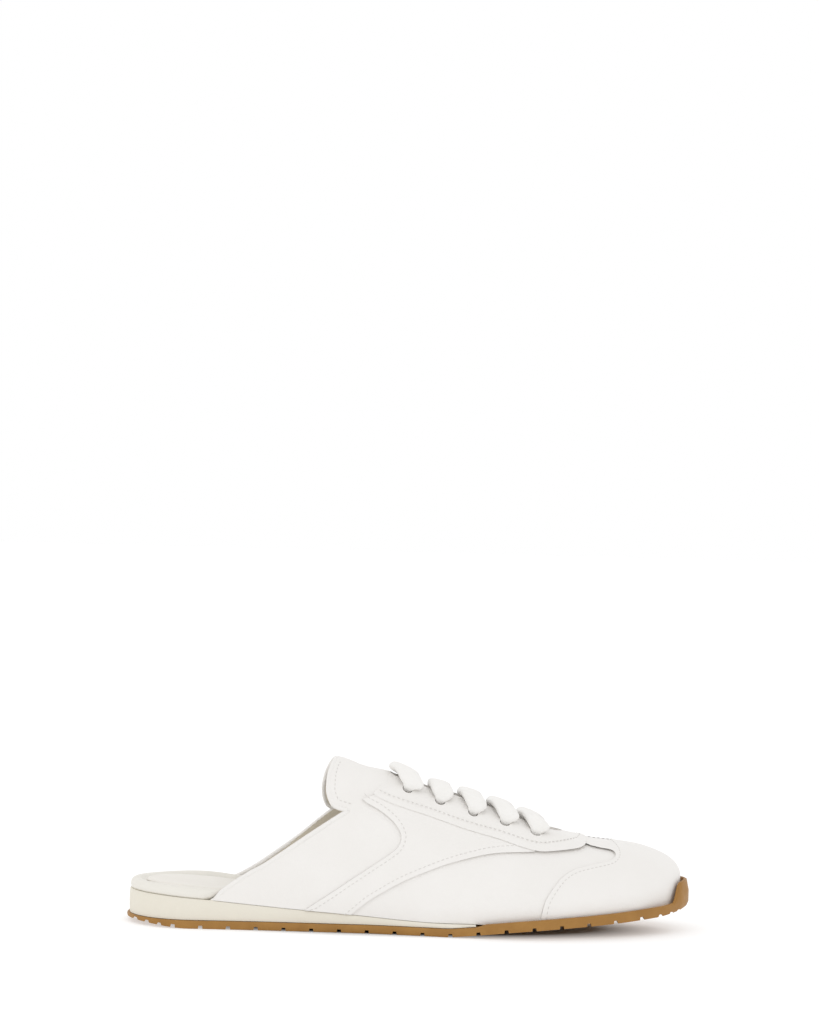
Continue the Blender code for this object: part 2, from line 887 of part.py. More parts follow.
def make_side_panel(name, side, group, cutters, finish):
    """Overlay on one side, between the quarter and the vamp."""
    item = skin_sheet(name, CLEARANCE, CLEARANCE + OVERLAY, group, finish)
    window = prism(name + "_window", side_panel_outline(), cutters)
    half = bmesh.new()
    made = bmesh.ops.create_cube(half, size=1.0)["verts"]
    bmesh.ops.scale(half, verts=made, vec=(LENGTH * CUT_REACH, BALL_WIDTH, CREST_HEIGHT * 2 * CUT_REACH))
    bmesh.ops.translate(half, verts=made, vec=(0, side * BALL_WIDTH / 2, 0))
    side_window = hide_cutter(add_object(name + "_side", half, cutters))
    boolean(item, window, "INTERSECT")
    boolean(item, side_window, "INTERSECT")
    return item


def make_eyestay(group, cutters, openings, finish):
    """U-shaped overlay round the throat, over the side panels' top edges."""
    item = skin_sheet("eyestay", CLEARANCE, EYESTAY, group, finish)
    line = smooth_line(EYESTAY_EDGE)
    high = CREST_HEIGHT * CUT_REACH
    outline = line + [(line[-1][0], high), (line[0][0], high)]
    boolean(item, prism("eyestay_window", outline, cutters), "INTERSECT")
    for cutter in openings:
        boolean(item, cutter)
    return item


def make_toe_cap(group, cutters, finish):
    """Toe overlay with its strip running up to the eyestay."""
    item = skin_sheet("toe_cap", CLEARANCE, CLEARANCE + OVERLAY, group, finish)
    line = smooth_line(TOE_CAP_EDGE)
    start = smooth_line(EYESTAY_EDGE)[-1][0] + CLEARANCE
    high = CREST_HEIGHT * CUT_REACH
    front = HALF_LENGTH * CUT_REACH
    rim = [(front, 0.0), (front, high), (start, high), (start, line[0][1] + 0.002)]
    outline = line + [(line[-1][0], 0.0)] + rim
    boolean(item, prism("toe_cap_window", outline, cutters), "INTERSECT")
    return item


def make_tongue(group, cutters, finish):
    """Pad under the throat and the laces."""
    item = skin_sheet("tongue", -WALL - CLEARANCE - TONGUE, -WALL - CLEARANCE, group, finish)
    shape = bmesh.new()
    start, end = plan_x(TONGUE_REAR), plan_x(TONGUE_FRONT)
    made = bmesh.ops.create_cube(shape, size=1.0)["verts"]
    bmesh.ops.scale(shape, verts=made, vec=(end - start, 2 * TONGUE_HALF_WIDTH, CREST_HEIGHT))
    bmesh.ops.translate(shape, verts=made, vec=((start + end) / 2, 0, CREST_HEIGHT))
    boolean(item, hide_cutter(add_object("tongue_window", shape, cutters)), "INTERSECT")
    return item


def lace_rows(lace_width):
    """Way of a lace bar from one eyelet to the crown."""
    over = EYESTAY + 2 * CLEARANCE
    full = over + LACE_THICKNESS / 2
    in_throat = LACE_THICKNESS / 2 + LACE_SAG
    return (
        # share of the way out to the eyelet, height over the skin, width, thickness
        (1.02, EYESTAY * 0.45, LACE_END_WIDTH, LACE_END_THICKNESS),
        (1.00, over + LACE_END_THICKNESS * 0.45, LACE_END_WIDTH, LACE_END_THICKNESS),
        (0.86, full + 0.0002, lace_width * 0.66, LACE_THICKNESS * 0.85),
        (0.68, full + 0.0004, lace_width * 0.90, LACE_THICKNESS),
        (0.48, full + 0.0002, lace_width, LACE_THICKNESS),
        (0.26, in_throat + 0.0007, lace_width, LACE_THICKNESS),
        (0.00, in_throat, lace_width, LACE_THICKNESS),
    )


def make_lace_bar(number, row, group, finish):
    """Padded flat lace across the throat, narrowing into two eyelets, leaning to the heel at the crown."""
    share, height, lace_width, lean = row
    rings = []
    rows = lace_rows(lace_width)
    ways = [(LATERAL, way) for way in rows] + [(MEDIAL, way) for way in rows[-2::-1]]
    for side, (out, lift, width, thickness) in ways:
        around = around_at_height(share, height * CREST_HEIGHT, side) * out
        shift = lean / LENGTH * ease(1 - out, 0.0, 0.6)
        point, along, normal = skin_frame(share - shift, around)
        middle = point + normal * lift
        ring = []
        for j in range(LACE_SIDES):
            angle = 2 * math.pi * j / LACE_SIDES
            ring.append(
                middle
                + along * (math.cos(angle) * width / 2)
                + normal * (math.sin(angle) * thickness / 2)
            )
        rings.append(ring)
    return add_object(f"lace_bar_{number}", loft(rings), group, finish)


def main():
    """Builds the shoe."""
    for item in list(bpy.data.objects):
        bpy.data.objects.remove(item, do_unlink=True)
    shoe = collection("sneaker_mule")
    cutters = collection("cutters")
    leather = material("white_leather", (0.86, 0.84, 0.81), 0.45)
    lacing = material("lace", (0.88, 0.86, 0.83), 0.7)
    make_outsole(shoe, cutters)
    make_midsole(shoe)
    make_footbed(shoe)
    make_insole(shoe)
    collar = collar_cutter(cutters)
    throat = throat_cutter(cutters)
    holes = eyelet_cutter(cutters)
    make_upper(shoe, (collar, throat, holes), leather)
    make_side_panel("side_panel_lateral", LATERAL, shoe, cutters, leather)
    make_side_panel("side_panel_medial", MEDIAL, shoe, cutters, leather)
    make_eyestay(shoe, cutters, (throat, holes), leather)
    make_toe_cap(shoe, cutters, leather)
    make_tongue(shoe, cutters, leather)
    for number, row in enumerate(EYELETS, 1):
        make_lace_bar(number, row, shoe, lacing)


main()
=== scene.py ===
"""White leather sneaker mule: leather, lining, laces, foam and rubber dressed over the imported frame."""
import math

import bmesh
import bpy
from mathutils import Matrix, Vector


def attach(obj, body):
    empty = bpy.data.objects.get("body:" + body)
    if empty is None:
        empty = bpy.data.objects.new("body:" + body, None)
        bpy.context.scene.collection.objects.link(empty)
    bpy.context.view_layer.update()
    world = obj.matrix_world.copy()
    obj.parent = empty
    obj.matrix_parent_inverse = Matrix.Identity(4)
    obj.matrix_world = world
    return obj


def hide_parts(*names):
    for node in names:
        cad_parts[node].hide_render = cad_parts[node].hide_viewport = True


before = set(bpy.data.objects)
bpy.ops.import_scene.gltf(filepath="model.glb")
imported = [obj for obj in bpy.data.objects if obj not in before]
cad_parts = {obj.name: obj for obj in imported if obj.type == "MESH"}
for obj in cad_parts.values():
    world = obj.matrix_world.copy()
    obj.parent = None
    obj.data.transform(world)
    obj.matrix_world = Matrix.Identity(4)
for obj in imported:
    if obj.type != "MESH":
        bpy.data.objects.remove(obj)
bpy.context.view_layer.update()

# Sizes of the last and the sole, in metres, as in the frame
LENGTH = 0.270
HALF_LENGTH = LENGTH / 2
BALL_WIDTH = 0.0894
CREST_HEIGHT = 0.081
TOE_SPRING = 0.0112
HEEL_BEVEL = 0.0020
HEEL_BEVEL_END = 0.11
GUM = 0.0038
GUM_LIP_HEEL = 0.0001
GUM_LIP_FORE = 0.0011
GUM_LIP_WIDTH = 0.0016
BUMPER_HEIGHT = 0.0095
BUMPER_LEAN = 0.0010
BUMPER_START = 0.968
BUMPER_FULL = 0.986
TOE_UNDER_ROUND = 0.0022
TOE_UNDER_START = 0.93
SOLE_EDGE_ROUND = 0.0006
GROOVE_PITCH = 0.01306
GROOVE_WIDTH = 0.0017
GROOVE_DEPTH = 0.0016
GROOVE_FLARE = 0.0005
FIRST_GROOVE = 0.0223
GROOVES = 18
FINE_GROOVE_WIDTH = 0.0024
FINE_GROOVE_DEPTH = 0.0013
FINE_GROOVES = (0.0164, 0.0368, 0.0587, 0.940, 0.962, 0.977)
WEDGE_HEEL = 0.0155
WEDGE_END = 0.611
WEDGE_INSET = 0.0012
WEDGE_EDGE_ROUND = 0.0005
FOOTBED_INSET = 0.0015
FOOTBED_GAP = 0.0010
RIM_HEIGHT = 0.0047
RIM_ROUND = 0.0022
RIM_FADE = (0.45, 0.65)
BOARD_HEIGHT = 0.0026
DISH_DEPTH = 0.0017
DISH_INSET = 0.0075
ARCH_RISE = 0.0018
ARCH = (0.02, 0.14)
INSOLE = 0.0013
TONGUE_REAR = 0.429
TONGUE_FRONT = 0.788
TONGUE_HALF_WIDTH = 0.021
WALL = 0.0020
UPPER_INSET = 0.0016
UPPER_INSET_FORE = 0.0036
UPPER_INSET_TOE = 0.0052
FORE_STEP = (0.50, 0.60)
TOE_STEP = (0.90, 0.96)
UPPER_START = 0.150
STEP_START = UPPER_START - 0.022
STEP_END = UPPER_START - 0.009
STEP_LEAN = 0.021
SIDE_BULGE = 0.0011
SIDE_LIFT = 0.0075
TUCK = 0.12
TOE_TIP_HEIGHT = 0.0245
TOE_DROP_START = 0.80
TOE_DROP_POWER = 2.4
HEEL_ROUND = 0.111
TOE_ROUND_START = 0.72
TOE_ROUND_POWER = 1.9
LIP_START = WEDGE_END + 0.003
LIP_FULL = WEDGE_END + 0.018
SEAT_BLEND = (WEDGE_END + 0.004, WEDGE_END + 0.05)
OVERLAY = 0.0010
EYESTAY = 0.0019
THROAT_START = 0.459
THROAT_END = 0.768
THROAT_HALF_WIDTH = 0.0070
EYELET = 0.0050
TONGUE = 0.0030
COLLAR_REACH = 0.026
LACE_THICKNESS = 0.0037
OVERLAY_GAP = 0.0002
EYESTAY_SEAM = 0.0013
EYESTAY_ROOT = 0.0006
EYESTAY_END = 0.0002
CAP_REAR = 0.69
COLLAR_ROLL = 0.00125
COLLAR_ROLL_SINK = 0.00095
CUT_REACH = 1.6
PANEL_STITCH = 0.0021
FRONT_STITCH = 0.0020
CREST_STITCH = 0.0026
CREST_ROW = (0.735, 0.97)
STITCH_PITCH = 0.0023
STITCH_LENGTH = 0.0016
STITCH_THICK = 0.00042
LATERAL = -1
MEDIAL = 1

# Sole seen from above, as shares of the ball width
SOLE_PLAN = (
    # share, middle, half
    (0.00, 0.000, 0.336),
    (0.20, 0.000, 0.336),
    (0.30, -0.017, 0.330),
    (0.40, -0.036, 0.327),
    (0.50, -0.042, 0.366),
    (0.60, -0.034, 0.436),
    (0.66, -0.020, 0.478),
    (0.72, 0.000, 0.500),
    (0.80, 0.026, 0.500),
    (0.88, 0.052, 0.500),
    (0.95, 0.075, 0.500),
    (1.00, 0.090, 0.500),
)
UNDERSIDE = (
    # share, rise as a share of the toe spring
    (0.00, 0.000),
    (0.555, 0.000),
    (0.60, 0.097),
    (0.65, 0.240),
    (0.70, 0.365),
    (0.77, 0.500),
    (0.84, 0.620),
    (0.91, 0.755),
    (0.95, 0.830),
    (0.98, 0.905),
    (1.00, 1.000),
)
WEDGE_TOP = (
    # share, height as a share of the wedge at the heel
    (0.00, 1.000),
    (0.117, 0.903),
    (0.192, 0.790),
    (0.29, 0.655),
    (0.36, 0.580),
    (0.483, 0.435),
    (0.556, 0.390),
    (0.62, 0.400),
)
LAST = (
    # share, crown, sideways, side, shoulder
    (0.14, 1.021, 0.000, 0.55, 0.52),
    (0.30, 1.021, 0.000, 0.55, 0.50),
    (0.373, 0.986, 0.005, 0.55, 0.50),
    (0.413, 0.938, 0.010, 0.54, 0.48),
    (0.459, 0.908, 0.015, 0.53, 0.46),
    (0.528, 0.811, 0.020, 0.51, 0.42),
    (0.587, 0.765, 0.025, 0.49, 0.37),
    (0.642, 0.711, 0.032, 0.46, 0.32),
    (0.697, 0.645, 0.040, 0.46, 0.32),
    (0.727, 0.605, 0.045, 0.47, 0.35),
    (0.757, 0.571, 0.050, 0.49, 0.40),
    (0.79, 0.544, 0.056, 0.52, 0.46),
    (0.84, 0.523, 0.066, 0.56, 0.52),
    (0.89, 0.517, 0.076, 0.58, 0.55),
    (1.00, 0.517, 0.090, 0.58, 0.55),
)
COLLAR = (
    # share, height on the lateral side, share, height on the medial side
    (0.146, 0.140, 0.136, 0.110),
    (0.164, 0.204, 0.150, 0.155),
    (0.183, 0.254, 0.168, 0.186),
    (0.212, 0.318, 0.200, 0.237),
    (0.240, 0.372, 0.229, 0.294),
    (0.266, 0.432, 0.256, 0.358),
    (0.314, 0.546, 0.303, 0.478),
    (0.352, 0.632, 0.336, 0.575),
    (0.378, 0.688, 0.356, 0.633),
    (0.386, 0.704, 0.363, 0.648),
    (0.379, 0.714, 0.357, 0.660),
    (0.362, 0.733, 0.350, 0.680),
    (0.355, 0.768, 0.345, 0.727),
    (0.351, 0.812, 0.343, 0.785),
    (0.351, 0.852, 0.345, 0.838),
    (0.353, 0.914, 0.349, 0.890),
    (0.359, 0.970, 0.357, 0.950),
    (0.366, 0.998, 0.365, 0.985),
    (0.374, 1.030, 0.374, 1.020),
)
EYESTAY_EDGE = (
    # share, height
    (0.466, 0.929),
    (0.455, 0.882),
    (0.442, 0.838),
    (0.431, 0.808),
    (0.430, 0.792),
    (0.437, 0.777),
    (0.450, 0.758),
    (0.473, 0.731),
    (0.529, 0.674),
    (0.593, 0.606),
    (0.651, 0.555),
    (0.689, 0.515),
    (0.712, 0.496),
    (0.732, 0.489),
    (0.764, 0.494),
    (0.786, 0.500),
    (0.798, 0.507),
    (0.807, 0.520),
    (0.812, 0.545),
)
PANEL_REAR_EDGE = (
    # share, height
    (0.409, 0.765),
    (0.418, 0.742),
    (0.438, 0.708),
    (0.457, 0.664),
    (0.468, 0.628),
    (0.476, 0.585),
    (0.478, 0.545),
    (0.471, 0.495),
    (0.455, 0.452),
    (0.431, 0.397),
    (0.388, 0.300),
    (0.355, 0.222),
    (0.306, 0.110),
)
PANEL_LOWER_EDGE = (
    # share, height
    (0.388, 0.090),
    (0.414, 0.167),
    (0.436, 0.220),
    (0.481, 0.309),
    (0.520, 0.367),
    (0.559, 0.416),
    (0.599, 0.453),
    (0.627, 0.473),
    (0.651, 0.483),
    (0.672, 0.486),
    (0.700, 0.487),
)
TOE_CAP_EDGE = (
    # share, height
    (0.816, 0.512),
    (0.835, 0.500),
    (0.848, 0.494),
    (0.857, 0.483),
    (0.859, 0.465),
    (0.853, 0.447),
    (0.840, 0.435),
    (0.813, 0.420),
    (0.785, 0.399),
    (0.766, 0.369),
    (0.753, 0.333),
    (0.736, 0.262),
    (0.727, 0.200),
    (0.722, 0.110),
)
EYELETS = (
    # share, height, lace width, lean to the heel at the crown
    (0.487, 0.806, 0.0135, 0.0028),
    (0.547, 0.736, 0.0108, 0.0006),
    (0.607, 0.675, 0.0110, 0.0020),
    (0.665, 0.620, 0.0118, 0.0030),
    (0.721, 0.562, 0.0118, 0.0038),
)
EYESTAY_CORNER_ROW = 5

# Soft creases and hollows of the leather, each a short line on the skin
CREASES = (
    # share, round, to share, to round, half width, depth
    (0.372, 0.42, 0.392, 0.66, 0.0022, 0.00045),
    (0.300, 0.72, 0.395, 0.60, 0.0070, 0.00050),
    (0.330, 0.86, 0.450, 0.70, 0.0050, -0.00030),
    (0.400, 0.20, 0.425, 0.46, 0.0045, 0.00035),
    (0.500, 0.80, 0.640, 0.66, 0.0060, 0.00045),
    (0.560, 0.88, 0.700, 0.78, 0.0050, -0.00035),
    (0.690, 0.52, 0.725, 0.74, 0.0042, 0.00045),
    (0.735, 0.50, 0.760, 0.60, 0.0030, 0.00025),
    (0.790, 0.02, 0.815, 0.24, 0.0050, 0.00025),
)


def read_table(rows, share, column=1):
    """Smooth reading of one column of a table between its rows."""
    last = len(rows) - 1
    if share <= rows[0][0]:
        return rows[0][column]
    if share >= rows[last][0]:
        return rows[last][column]
    low = max(k for k in range(last) if rows[k][0] <= share)

    def slope(k):
        """Slope at row k, level where the column turns."""
        if k == 0 or k == last:
            return 0.0
        before = (rows[k][column] - rows[k - 1][column]) / (rows[k][0] - rows[k - 1][0])
        after = (rows[k + 1][column] - rows[k][column]) / (rows[k + 1][0] - rows[k][0])
        if before * after <= 0:
            return 0.0
        return 2 * before * after / (before + after)

    width = rows[low + 1][0] - rows[low][0]
    t = (share - rows[low][0]) / width
    start, end = rows[low][column], rows[low + 1][column]
    return (
        start * (2 * t**3 - 3 * t**2 + 1)
        + slope(low) * width * (t**3 - 2 * t**2 + t)
        + end * (3 * t**2 - 2 * t**3)
        + slope(low + 1) * width * (t**3 - t**2)
    )


def ease(value, low, high):
    """0 below low, 1 above high, smooth between."""
    t = min(1.0, max(0.0, (value - low) / (high - low)))
    return t * t * (3 - 2 * t)


def end_round(share):
    """How much of its width the shoe has near its rounded heel and toe."""
    if share < HEEL_ROUND:
        t = 1 - share / HEEL_ROUND
        return math.sqrt(max(0.0, 1 - t * t))
    if share > TOE_ROUND_START:
        t = (share - TOE_ROUND_START) / (1 - TOE_ROUND_START)
        return max(0.0, 1 - t**TOE_ROUND_POWER) ** (1 / TOE_ROUND_POWER)
    return 1.0


def plan_x(share, inset=0.0):
    """X of a share of an outline that lies inset inside the sole's."""
    return -HALF_LENGTH + inset + share * (LENGTH - 2 * inset)


def middle_line(share):
    """Y of the sole's middle line before the origin is set."""
    return read_table(SOLE_PLAN, share, 1) * BALL_WIDTH


def half_width(share, inset=0.0):
    """Half the sole's width at a share, drawn in by an inset."""
    return (read_table(SOLE_PLAN, share, 2) * BALL_WIDTH - inset) * end_round(share)


BOX_SHARES = [k / 200 for k in range(201)]
BOX_MIDDLE = (
    max(middle_line(s) + half_width(s) for s in BOX_SHARES)
    - max(half_width(s) - middle_line(s) for s in BOX_SHARES)
) / 2


def sole_point(share, side, inset, height):
    """Point of an outline of the sole on one side."""
    y = middle_line(share) + side * half_width(share, inset) - BOX_MIDDLE
    return Vector((plan_x(share, inset), y, height))


def spring(share):
    """Height of the underside, without the heel's bevel."""
    return read_table(UNDERSIDE, share) * TOE_SPRING


def underside(share):
    """Height of the underside."""
    return spring(share) + HEEL_BEVEL * (1 - ease(share, 0.0, HEEL_BEVEL_END))


def gum_top(share):
    """Height of the face of the gum that carries the wedge and the upper."""
    return spring(share) + GUM


def lip(share):
    """Height of the gum's lip over that face, with the bumper at the toe."""
    fore = GUM_LIP_HEEL + (GUM_LIP_FORE - GUM_LIP_HEEL) * ease(share, LIP_START, LIP_FULL)
    return fore + (BUMPER_HEIGHT - GUM_LIP_FORE) * ease(share, BUMPER_START, BUMPER_FULL)


def wedge_top(share):
    """Height of the top of the cream wedge."""
    return read_table(WEDGE_TOP, share) * WEDGE_HEEL


def seat(share):
    """Height that the upper and the footbed stand on."""
    on_wedge = wedge_top(min(share, WEDGE_END))
    return on_wedge + (gum_top(share) - on_wedge) * ease(share, *SEAT_BLEND) + 0.0002


def upper_inset(share):
    """How far the upper's foot stands inside the sole."""
    fore = (UPPER_INSET_FORE - UPPER_INSET) * ease(share, *FORE_STEP)
    toe = (UPPER_INSET_TOE - UPPER_INSET_FORE) * ease(share, *TOE_STEP)
    return UPPER_INSET + fore + toe


def skin(share, around):
    """Point of the upper's outer skin. around runs from -1 at the lateral foot, over the crown, to 1."""
    inset = upper_inset(share)
    foot_z = seat(share)
    crown_z = read_table(LAST, share, 1) * CREST_HEIGHT
    if share > TOE_DROP_START:
        t = (share - TOE_DROP_START) / (1 - TOE_DROP_START)
        kept = max(0.0, 1 - t**TOE_DROP_POWER) ** (1 / TOE_DROP_POWER)
        crown_z = TOE_TIP_HEIGHT + (crown_z - TOE_TIP_HEIGHT) * kept
    waist_z = foot_z + min(SIDE_LIFT, 0.4 * (crown_z - foot_z))
    side = LATERAL if around < 0 else MEDIAL
    bulge = SIDE_BULGE * ease(share, 0.3, 0.6) * end_round(share)
    half = half_width(share, inset) + bulge
    crown_shift = read_table(LAST, share, 2) * BALL_WIDTH - middle_line(share)
    height_share = 1 - abs(around)
    if height_share < TUCK:
        low = 1 - height_share / TUCK
        out = half - bulge * low * low
        z = waist_z - (waist_z - foot_z) * low
        over = 0.0
    else:
        t = (height_share - TUCK) / (1 - TUCK)
        over = 3 * (1 - t) ** 2 * t * read_table(LAST, share, 3) + 3 * (1 - t) * t * t + t**3
        out = half * ((1 - t) ** 3 + 3 * (1 - t) ** 2 * t + 3 * (1 - t) * t * t * read_table(LAST, share, 4))
        z = waist_z + (crown_z - waist_z) * over
    y = middle_line(share) + crown_shift * over + side * out - BOX_MIDDLE
    return Vector((plan_x(share, inset), y, z))


def skin_frame(share, around):
    """Point of the skin with its direction towards the toe and its outward normal."""
    along = (skin(share + 0.004, around) - skin(share - 0.004, around)).normalized()
    across = skin(share, around + 0.01) - skin(share, around - 0.01)
    return skin(share, around), along, along.cross(across).normalized()


def around_at_height(share, height, side):
    """Where round the section the skin has a height, on one side."""
    low, high = 0.0, 1.0
    for _ in range(24):
        mid = (low + high) / 2
        if skin(share, side * (1 - mid)).z < height:
            low = mid
        else:
            high = mid
    return side * (1 - low)


def relief(share, around):
    """How far the creases and hollows sink the skin."""
    sunk = 0.0
    for from_share, from_around, to_share, to_around, width, depth in CREASES:
        start = Vector((from_share * LENGTH, from_around * CREST_HEIGHT))
        run = Vector((to_share * LENGTH, to_around * CREST_HEIGHT)) - start
        here = Vector((share * LENGTH, abs(around) * CREST_HEIGHT)) - start
        t = min(1.0, max(0.0, here.dot(run) / run.length_squared))
        gap = (here - run * t).length
        sunk += depth * math.exp(-((gap / width) ** 2)) * (0.4 + 0.6 * math.sin(math.pi * t))
    return sunk


def smooth_line(rows, steps=4, share_column=0, height_column=1):
    """Points (x, z) in metres along a smooth curve through a table of shares."""
    points = [Vector((plan_x(row[share_column]), row[height_column] * CREST_HEIGHT)) for row in rows]
    line = []
    for k in range(len(points) - 1):
        start, end = points[k], points[k + 1]
        pull = (end - points[max(k - 1, 0)]) / 2
        leave = (points[min(k + 2, len(points) - 1)] - start) / 2
        for j in range(steps):
            t = j / steps
            line.append(
                start * (2 * t**3 - 3 * t**2 + 1)
                + pull * (t**3 - 2 * t**2 + t)
                + end * (3 * t**2 - 2 * t**3)
                + leave * (t**3 - t**2)
            )
    line.append(points[-1])
    return line


def beside(line, distance):
    """A line that runs beside another one, on its left where the distance is positive."""
    moved = []
    for k, point in enumerate(line):
        run = line[min(k + 1, len(line) - 1)] - line[max(k - 1, 0)]
        run.normalize()
        moved.append(point + Vector((-run.y, run.x)) * distance)
    return moved


def lay_on_skin(line, side, medial_line=None):
    """Shares and ways round of the skin under a line seen from the side."""
    places = []
    for k, near in enumerate(line):
        y = side * 0.024
        for _ in range(7):
            point = near
            if medial_line:
                point = near + (medial_line[k] - near) * ((y + COLLAR_REACH) / (2 * COLLAR_REACH))
            share = (point.x + HALF_LENGTH) / LENGTH
            for _ in range(3):
                inset = upper_inset(share)
                share = (point.x + HALF_LENGTH - inset) / (LENGTH - 2 * inset)
            around = around_at_height(share, point.y, side)
            y = skin(share, around).y
        places.append((share, around))
    return places


# Finishes
def new_finish(name, colour, roughness):
    """Finish with its shader and node tree."""
    finish = bpy.data.materials.new(name)
    finish.use_nodes = True
    shader = finish.node_tree.nodes["Principled BSDF"]
    shader.inputs["Base Color"].default_value = (*colour, 1.0)
    shader.inputs["Roughness"].default_value = roughness
    return finish, finish.node_tree, shader


def add_node(tree, kind, **values):
    """Node with its sockets set by name."""
    made = tree.nodes.new(kind)
    for name, value in values.items():
        made.inputs[name.replace("_", " ")].default_value = value
    return made


def mottle(tree, shader, light, dark, scale, place="Object"):
    """Colour that drifts softly between two tones."""
    where = tree.nodes.new("ShaderNodeTexCoord")
    drift = add_node(tree, "ShaderNodeTexNoise", Scale=scale, Detail=3.0, Roughness=0.5)
    ramp = tree.nodes.new("ShaderNodeValToRGB")
    ramp.color_ramp.elements[0].position = 0.35
    ramp.color_ramp.elements[0].color = (*dark, 1.0)
    ramp.color_ramp.elements[1].position = 0.68
    ramp.color_ramp.elements[1].color = (*light, 1.0)
    tree.links.new(where.outputs[place], drift.inputs["Vector"])
    tree.links.new(drift.outputs["Fac"], ramp.inputs["Fac"])
    tree.links.new(ramp.outputs["Color"], shader.inputs["Base Color"])
    return where


def grain(tree, shader, where, layers, place="Object"):
    """Bumps of several sizes, one over another."""
    before = None
    for kind, output, scale, distance, strength in layers:
        texture = add_node(tree, kind, Scale=scale)
        bump = add_node(tree, "ShaderNodeBump", Strength=strength, Distance=distance)
        tree.links.new(where.outputs[place], texture.inputs["Vector"])
        tree.links.new(texture.outputs[output], bump.inputs["Height"])
        if before:
            tree.links.new(before.outputs["Normal"], bump.inputs["Normal"])
        before = bump
    tree.links.new(before.outputs["Normal"], shader.inputs["Normal"])


def gloss(tree, shader, where, scale, low, high):
    """Roughness that changes softly over the surface."""
    drift = add_node(tree, "ShaderNodeTexNoise", Scale=scale, Detail=4.0)
    span = add_node(tree, "ShaderNodeMapRange", From_Min=0.3, From_Max=0.7, To_Min=low, To_Max=high)
    tree.links.new(where.outputs["Object"], drift.inputs["Vector"])
    tree.links.new(drift.outputs["Fac"], span.inputs["Value"])
    tree.links.new(span.outputs["Result"], shader.inputs["Roughness"])


def leather(name, light, dark, low, high, depth):
    """Smooth calf leather with pores, faint wrinkles and a thin sealed coat."""
    finish, tree, shader = new_finish(name, light, low)
    where = mottle(tree, shader, light, dark, 38.0)
    gloss(tree, shader, where, 160.0, low, high)
    grain(
        tree,
        shader,
        where,
        (
            ("ShaderNodeTexNoise", "Fac", 120.0, 0.0006, 0.10 * depth),
            ("ShaderNodeTexVoronoi", "Distance", 1100.0, 0.00012, 0.35 * depth),
            ("ShaderNodeTexNoise", "Fac", 2600.0, 0.00005, 0.30 * depth),
        ),
    )
    shader.inputs["Coat Weight"].default_value = 0.12
    shader.inputs["Coat Roughness"].default_value = 0.32
    shader.inputs["Specular IOR Level"].default_value = 0.4
    return finish


def foam(name, light, dark):
    """Cream moulded foam with fine cells."""
    finish, tree, shader = new_finish(name, light, 0.6)
    where = mottle(tree, shader, light, dark, 60.0)
    gloss(tree, shader, where, 300.0, 0.52, 0.68)
    grain(
        tree,
        shader,
        where,
        (
            ("ShaderNodeTexVoronoi", "Distance", 1500.0, 0.00008, 0.35),
            ("ShaderNodeTexNoise", "Fac", 240.0, 0.0003, 0.10),
        ),
    )
    return finish


def rubber(name, light, dark):
    """Gum rubber, a little mottled, with a moulded fine skin."""
    finish, tree, shader = new_finish(name, light, 0.5)
    where = mottle(tree, shader, light, dark, 90.0)
    gloss(tree, shader, where, 420.0, 0.42, 0.60)
    grain(
        tree,
        shader,
        where,
        (
            ("ShaderNodeTexNoise", "Fac", 300.0, 0.0004, 0.12),
            ("ShaderNodeTexNoise", "Fac", 1800.0, 0.00006, 0.35),
        ),
    )
    shader.inputs["Specular IOR Level"].default_value = 0.28
    return finish


def woven(name, light, dark):
    """Tightly woven lace: two sets of threads that cross over the lace's own length and width."""
    finish, tree, shader = new_finish(name, light, 0.75)
    where = mottle(tree, shader, light, dark, 300.0)
    weave = []
    for turn in (0.785, -0.785):
        turned = tree.nodes.new("ShaderNodeMapping")
        turned.inputs["Rotation"].default_value = (0.0, 0.0, turn)
        threads = add_node(tree, "ShaderNodeTexWave", Scale=330.0, Distortion=0.4, Detail=1.0)
        tree.links.new(where.outputs["UV"], turned.inputs["Vector"])
        tree.links.new(turned.outputs["Vector"], threads.inputs["Vector"])
        weave.append(threads)
    crossing = tree.nodes.new("ShaderNodeMath")
    crossing.operation = "MAXIMUM"
    bump = add_node(tree, "ShaderNodeBump", Strength=0.35, Distance=0.00015)
    tree.links.new(weave[0].outputs["Fac"], crossing.inputs[0])
    tree.links.new(weave[1].outputs["Fac"], crossing.inputs[1])
    tree.links.new(crossing.outputs["Value"], bump.inputs["Height"])
    tree.links.new(bump.outputs["Normal"], shader.inputs["Normal"])
    shader.inputs["Sheen Weight"].default_value = 0.15
    shader.inputs["Sheen Roughness"].default_value = 0.5
    return finish


WHITE = leather("white_calf", (0.845, 0.825, 0.800), (0.830, 0.808, 0.780), 0.40, 0.52, 1.0)
BEDDING = leather("footbed_calf", (0.800, 0.775, 0.715), (0.785, 0.758, 0.695), 0.45, 0.58, 0.8)
SOCK = leather("sock_leather", (0.830, 0.800, 0.745), (0.815, 0.782, 0.725), 0.52, 0.66, 0.7)
LINING = leather("tan_lining", (0.720, 0.665, 0.560), (0.700, 0.640, 0.530), 0.55, 0.70, 0.7)
FOAM = foam("cream_foam", (0.775, 0.735, 0.640), (0.760, 0.718, 0.620))
GUM_RUBBER = rubber("gum_rubber", (0.372, 0.190, 0.048), (0.325, 0.160, 0.038))
LACING = woven("white_lace", (0.880, 0.865, 0.840), (0.865, 0.848, 0.820))
# Dark finish for the discs in the eyelet holes: painted shade of the open holes
PAINTED_HOLE_SHADE = leather("eyelet_shadow", (0.230, 0.205, 0.170), (0.180, 0.160, 0.135), 0.60, 0.75, 0.6)
# Thread greyer than the leather: the thread's own tone together with painted shade of the needle holes along the
# rows
THREAD_AND_HOLE_SHADE = foam("thread_with_painted_shade", (0.720, 0.700, 0.670), (0.680, 0.660, 0.630))


# Makers
def show(name, shape, finish, nodes=(), sharp=38.0):
    """Turns a bmesh into a finished piece of the shoe."""
    mesh = bpy.data.meshes.new(name)
    shape.to_mesh(mesh)
    shape.free()
    return show_mesh(name, mesh, finish, nodes, sharp)


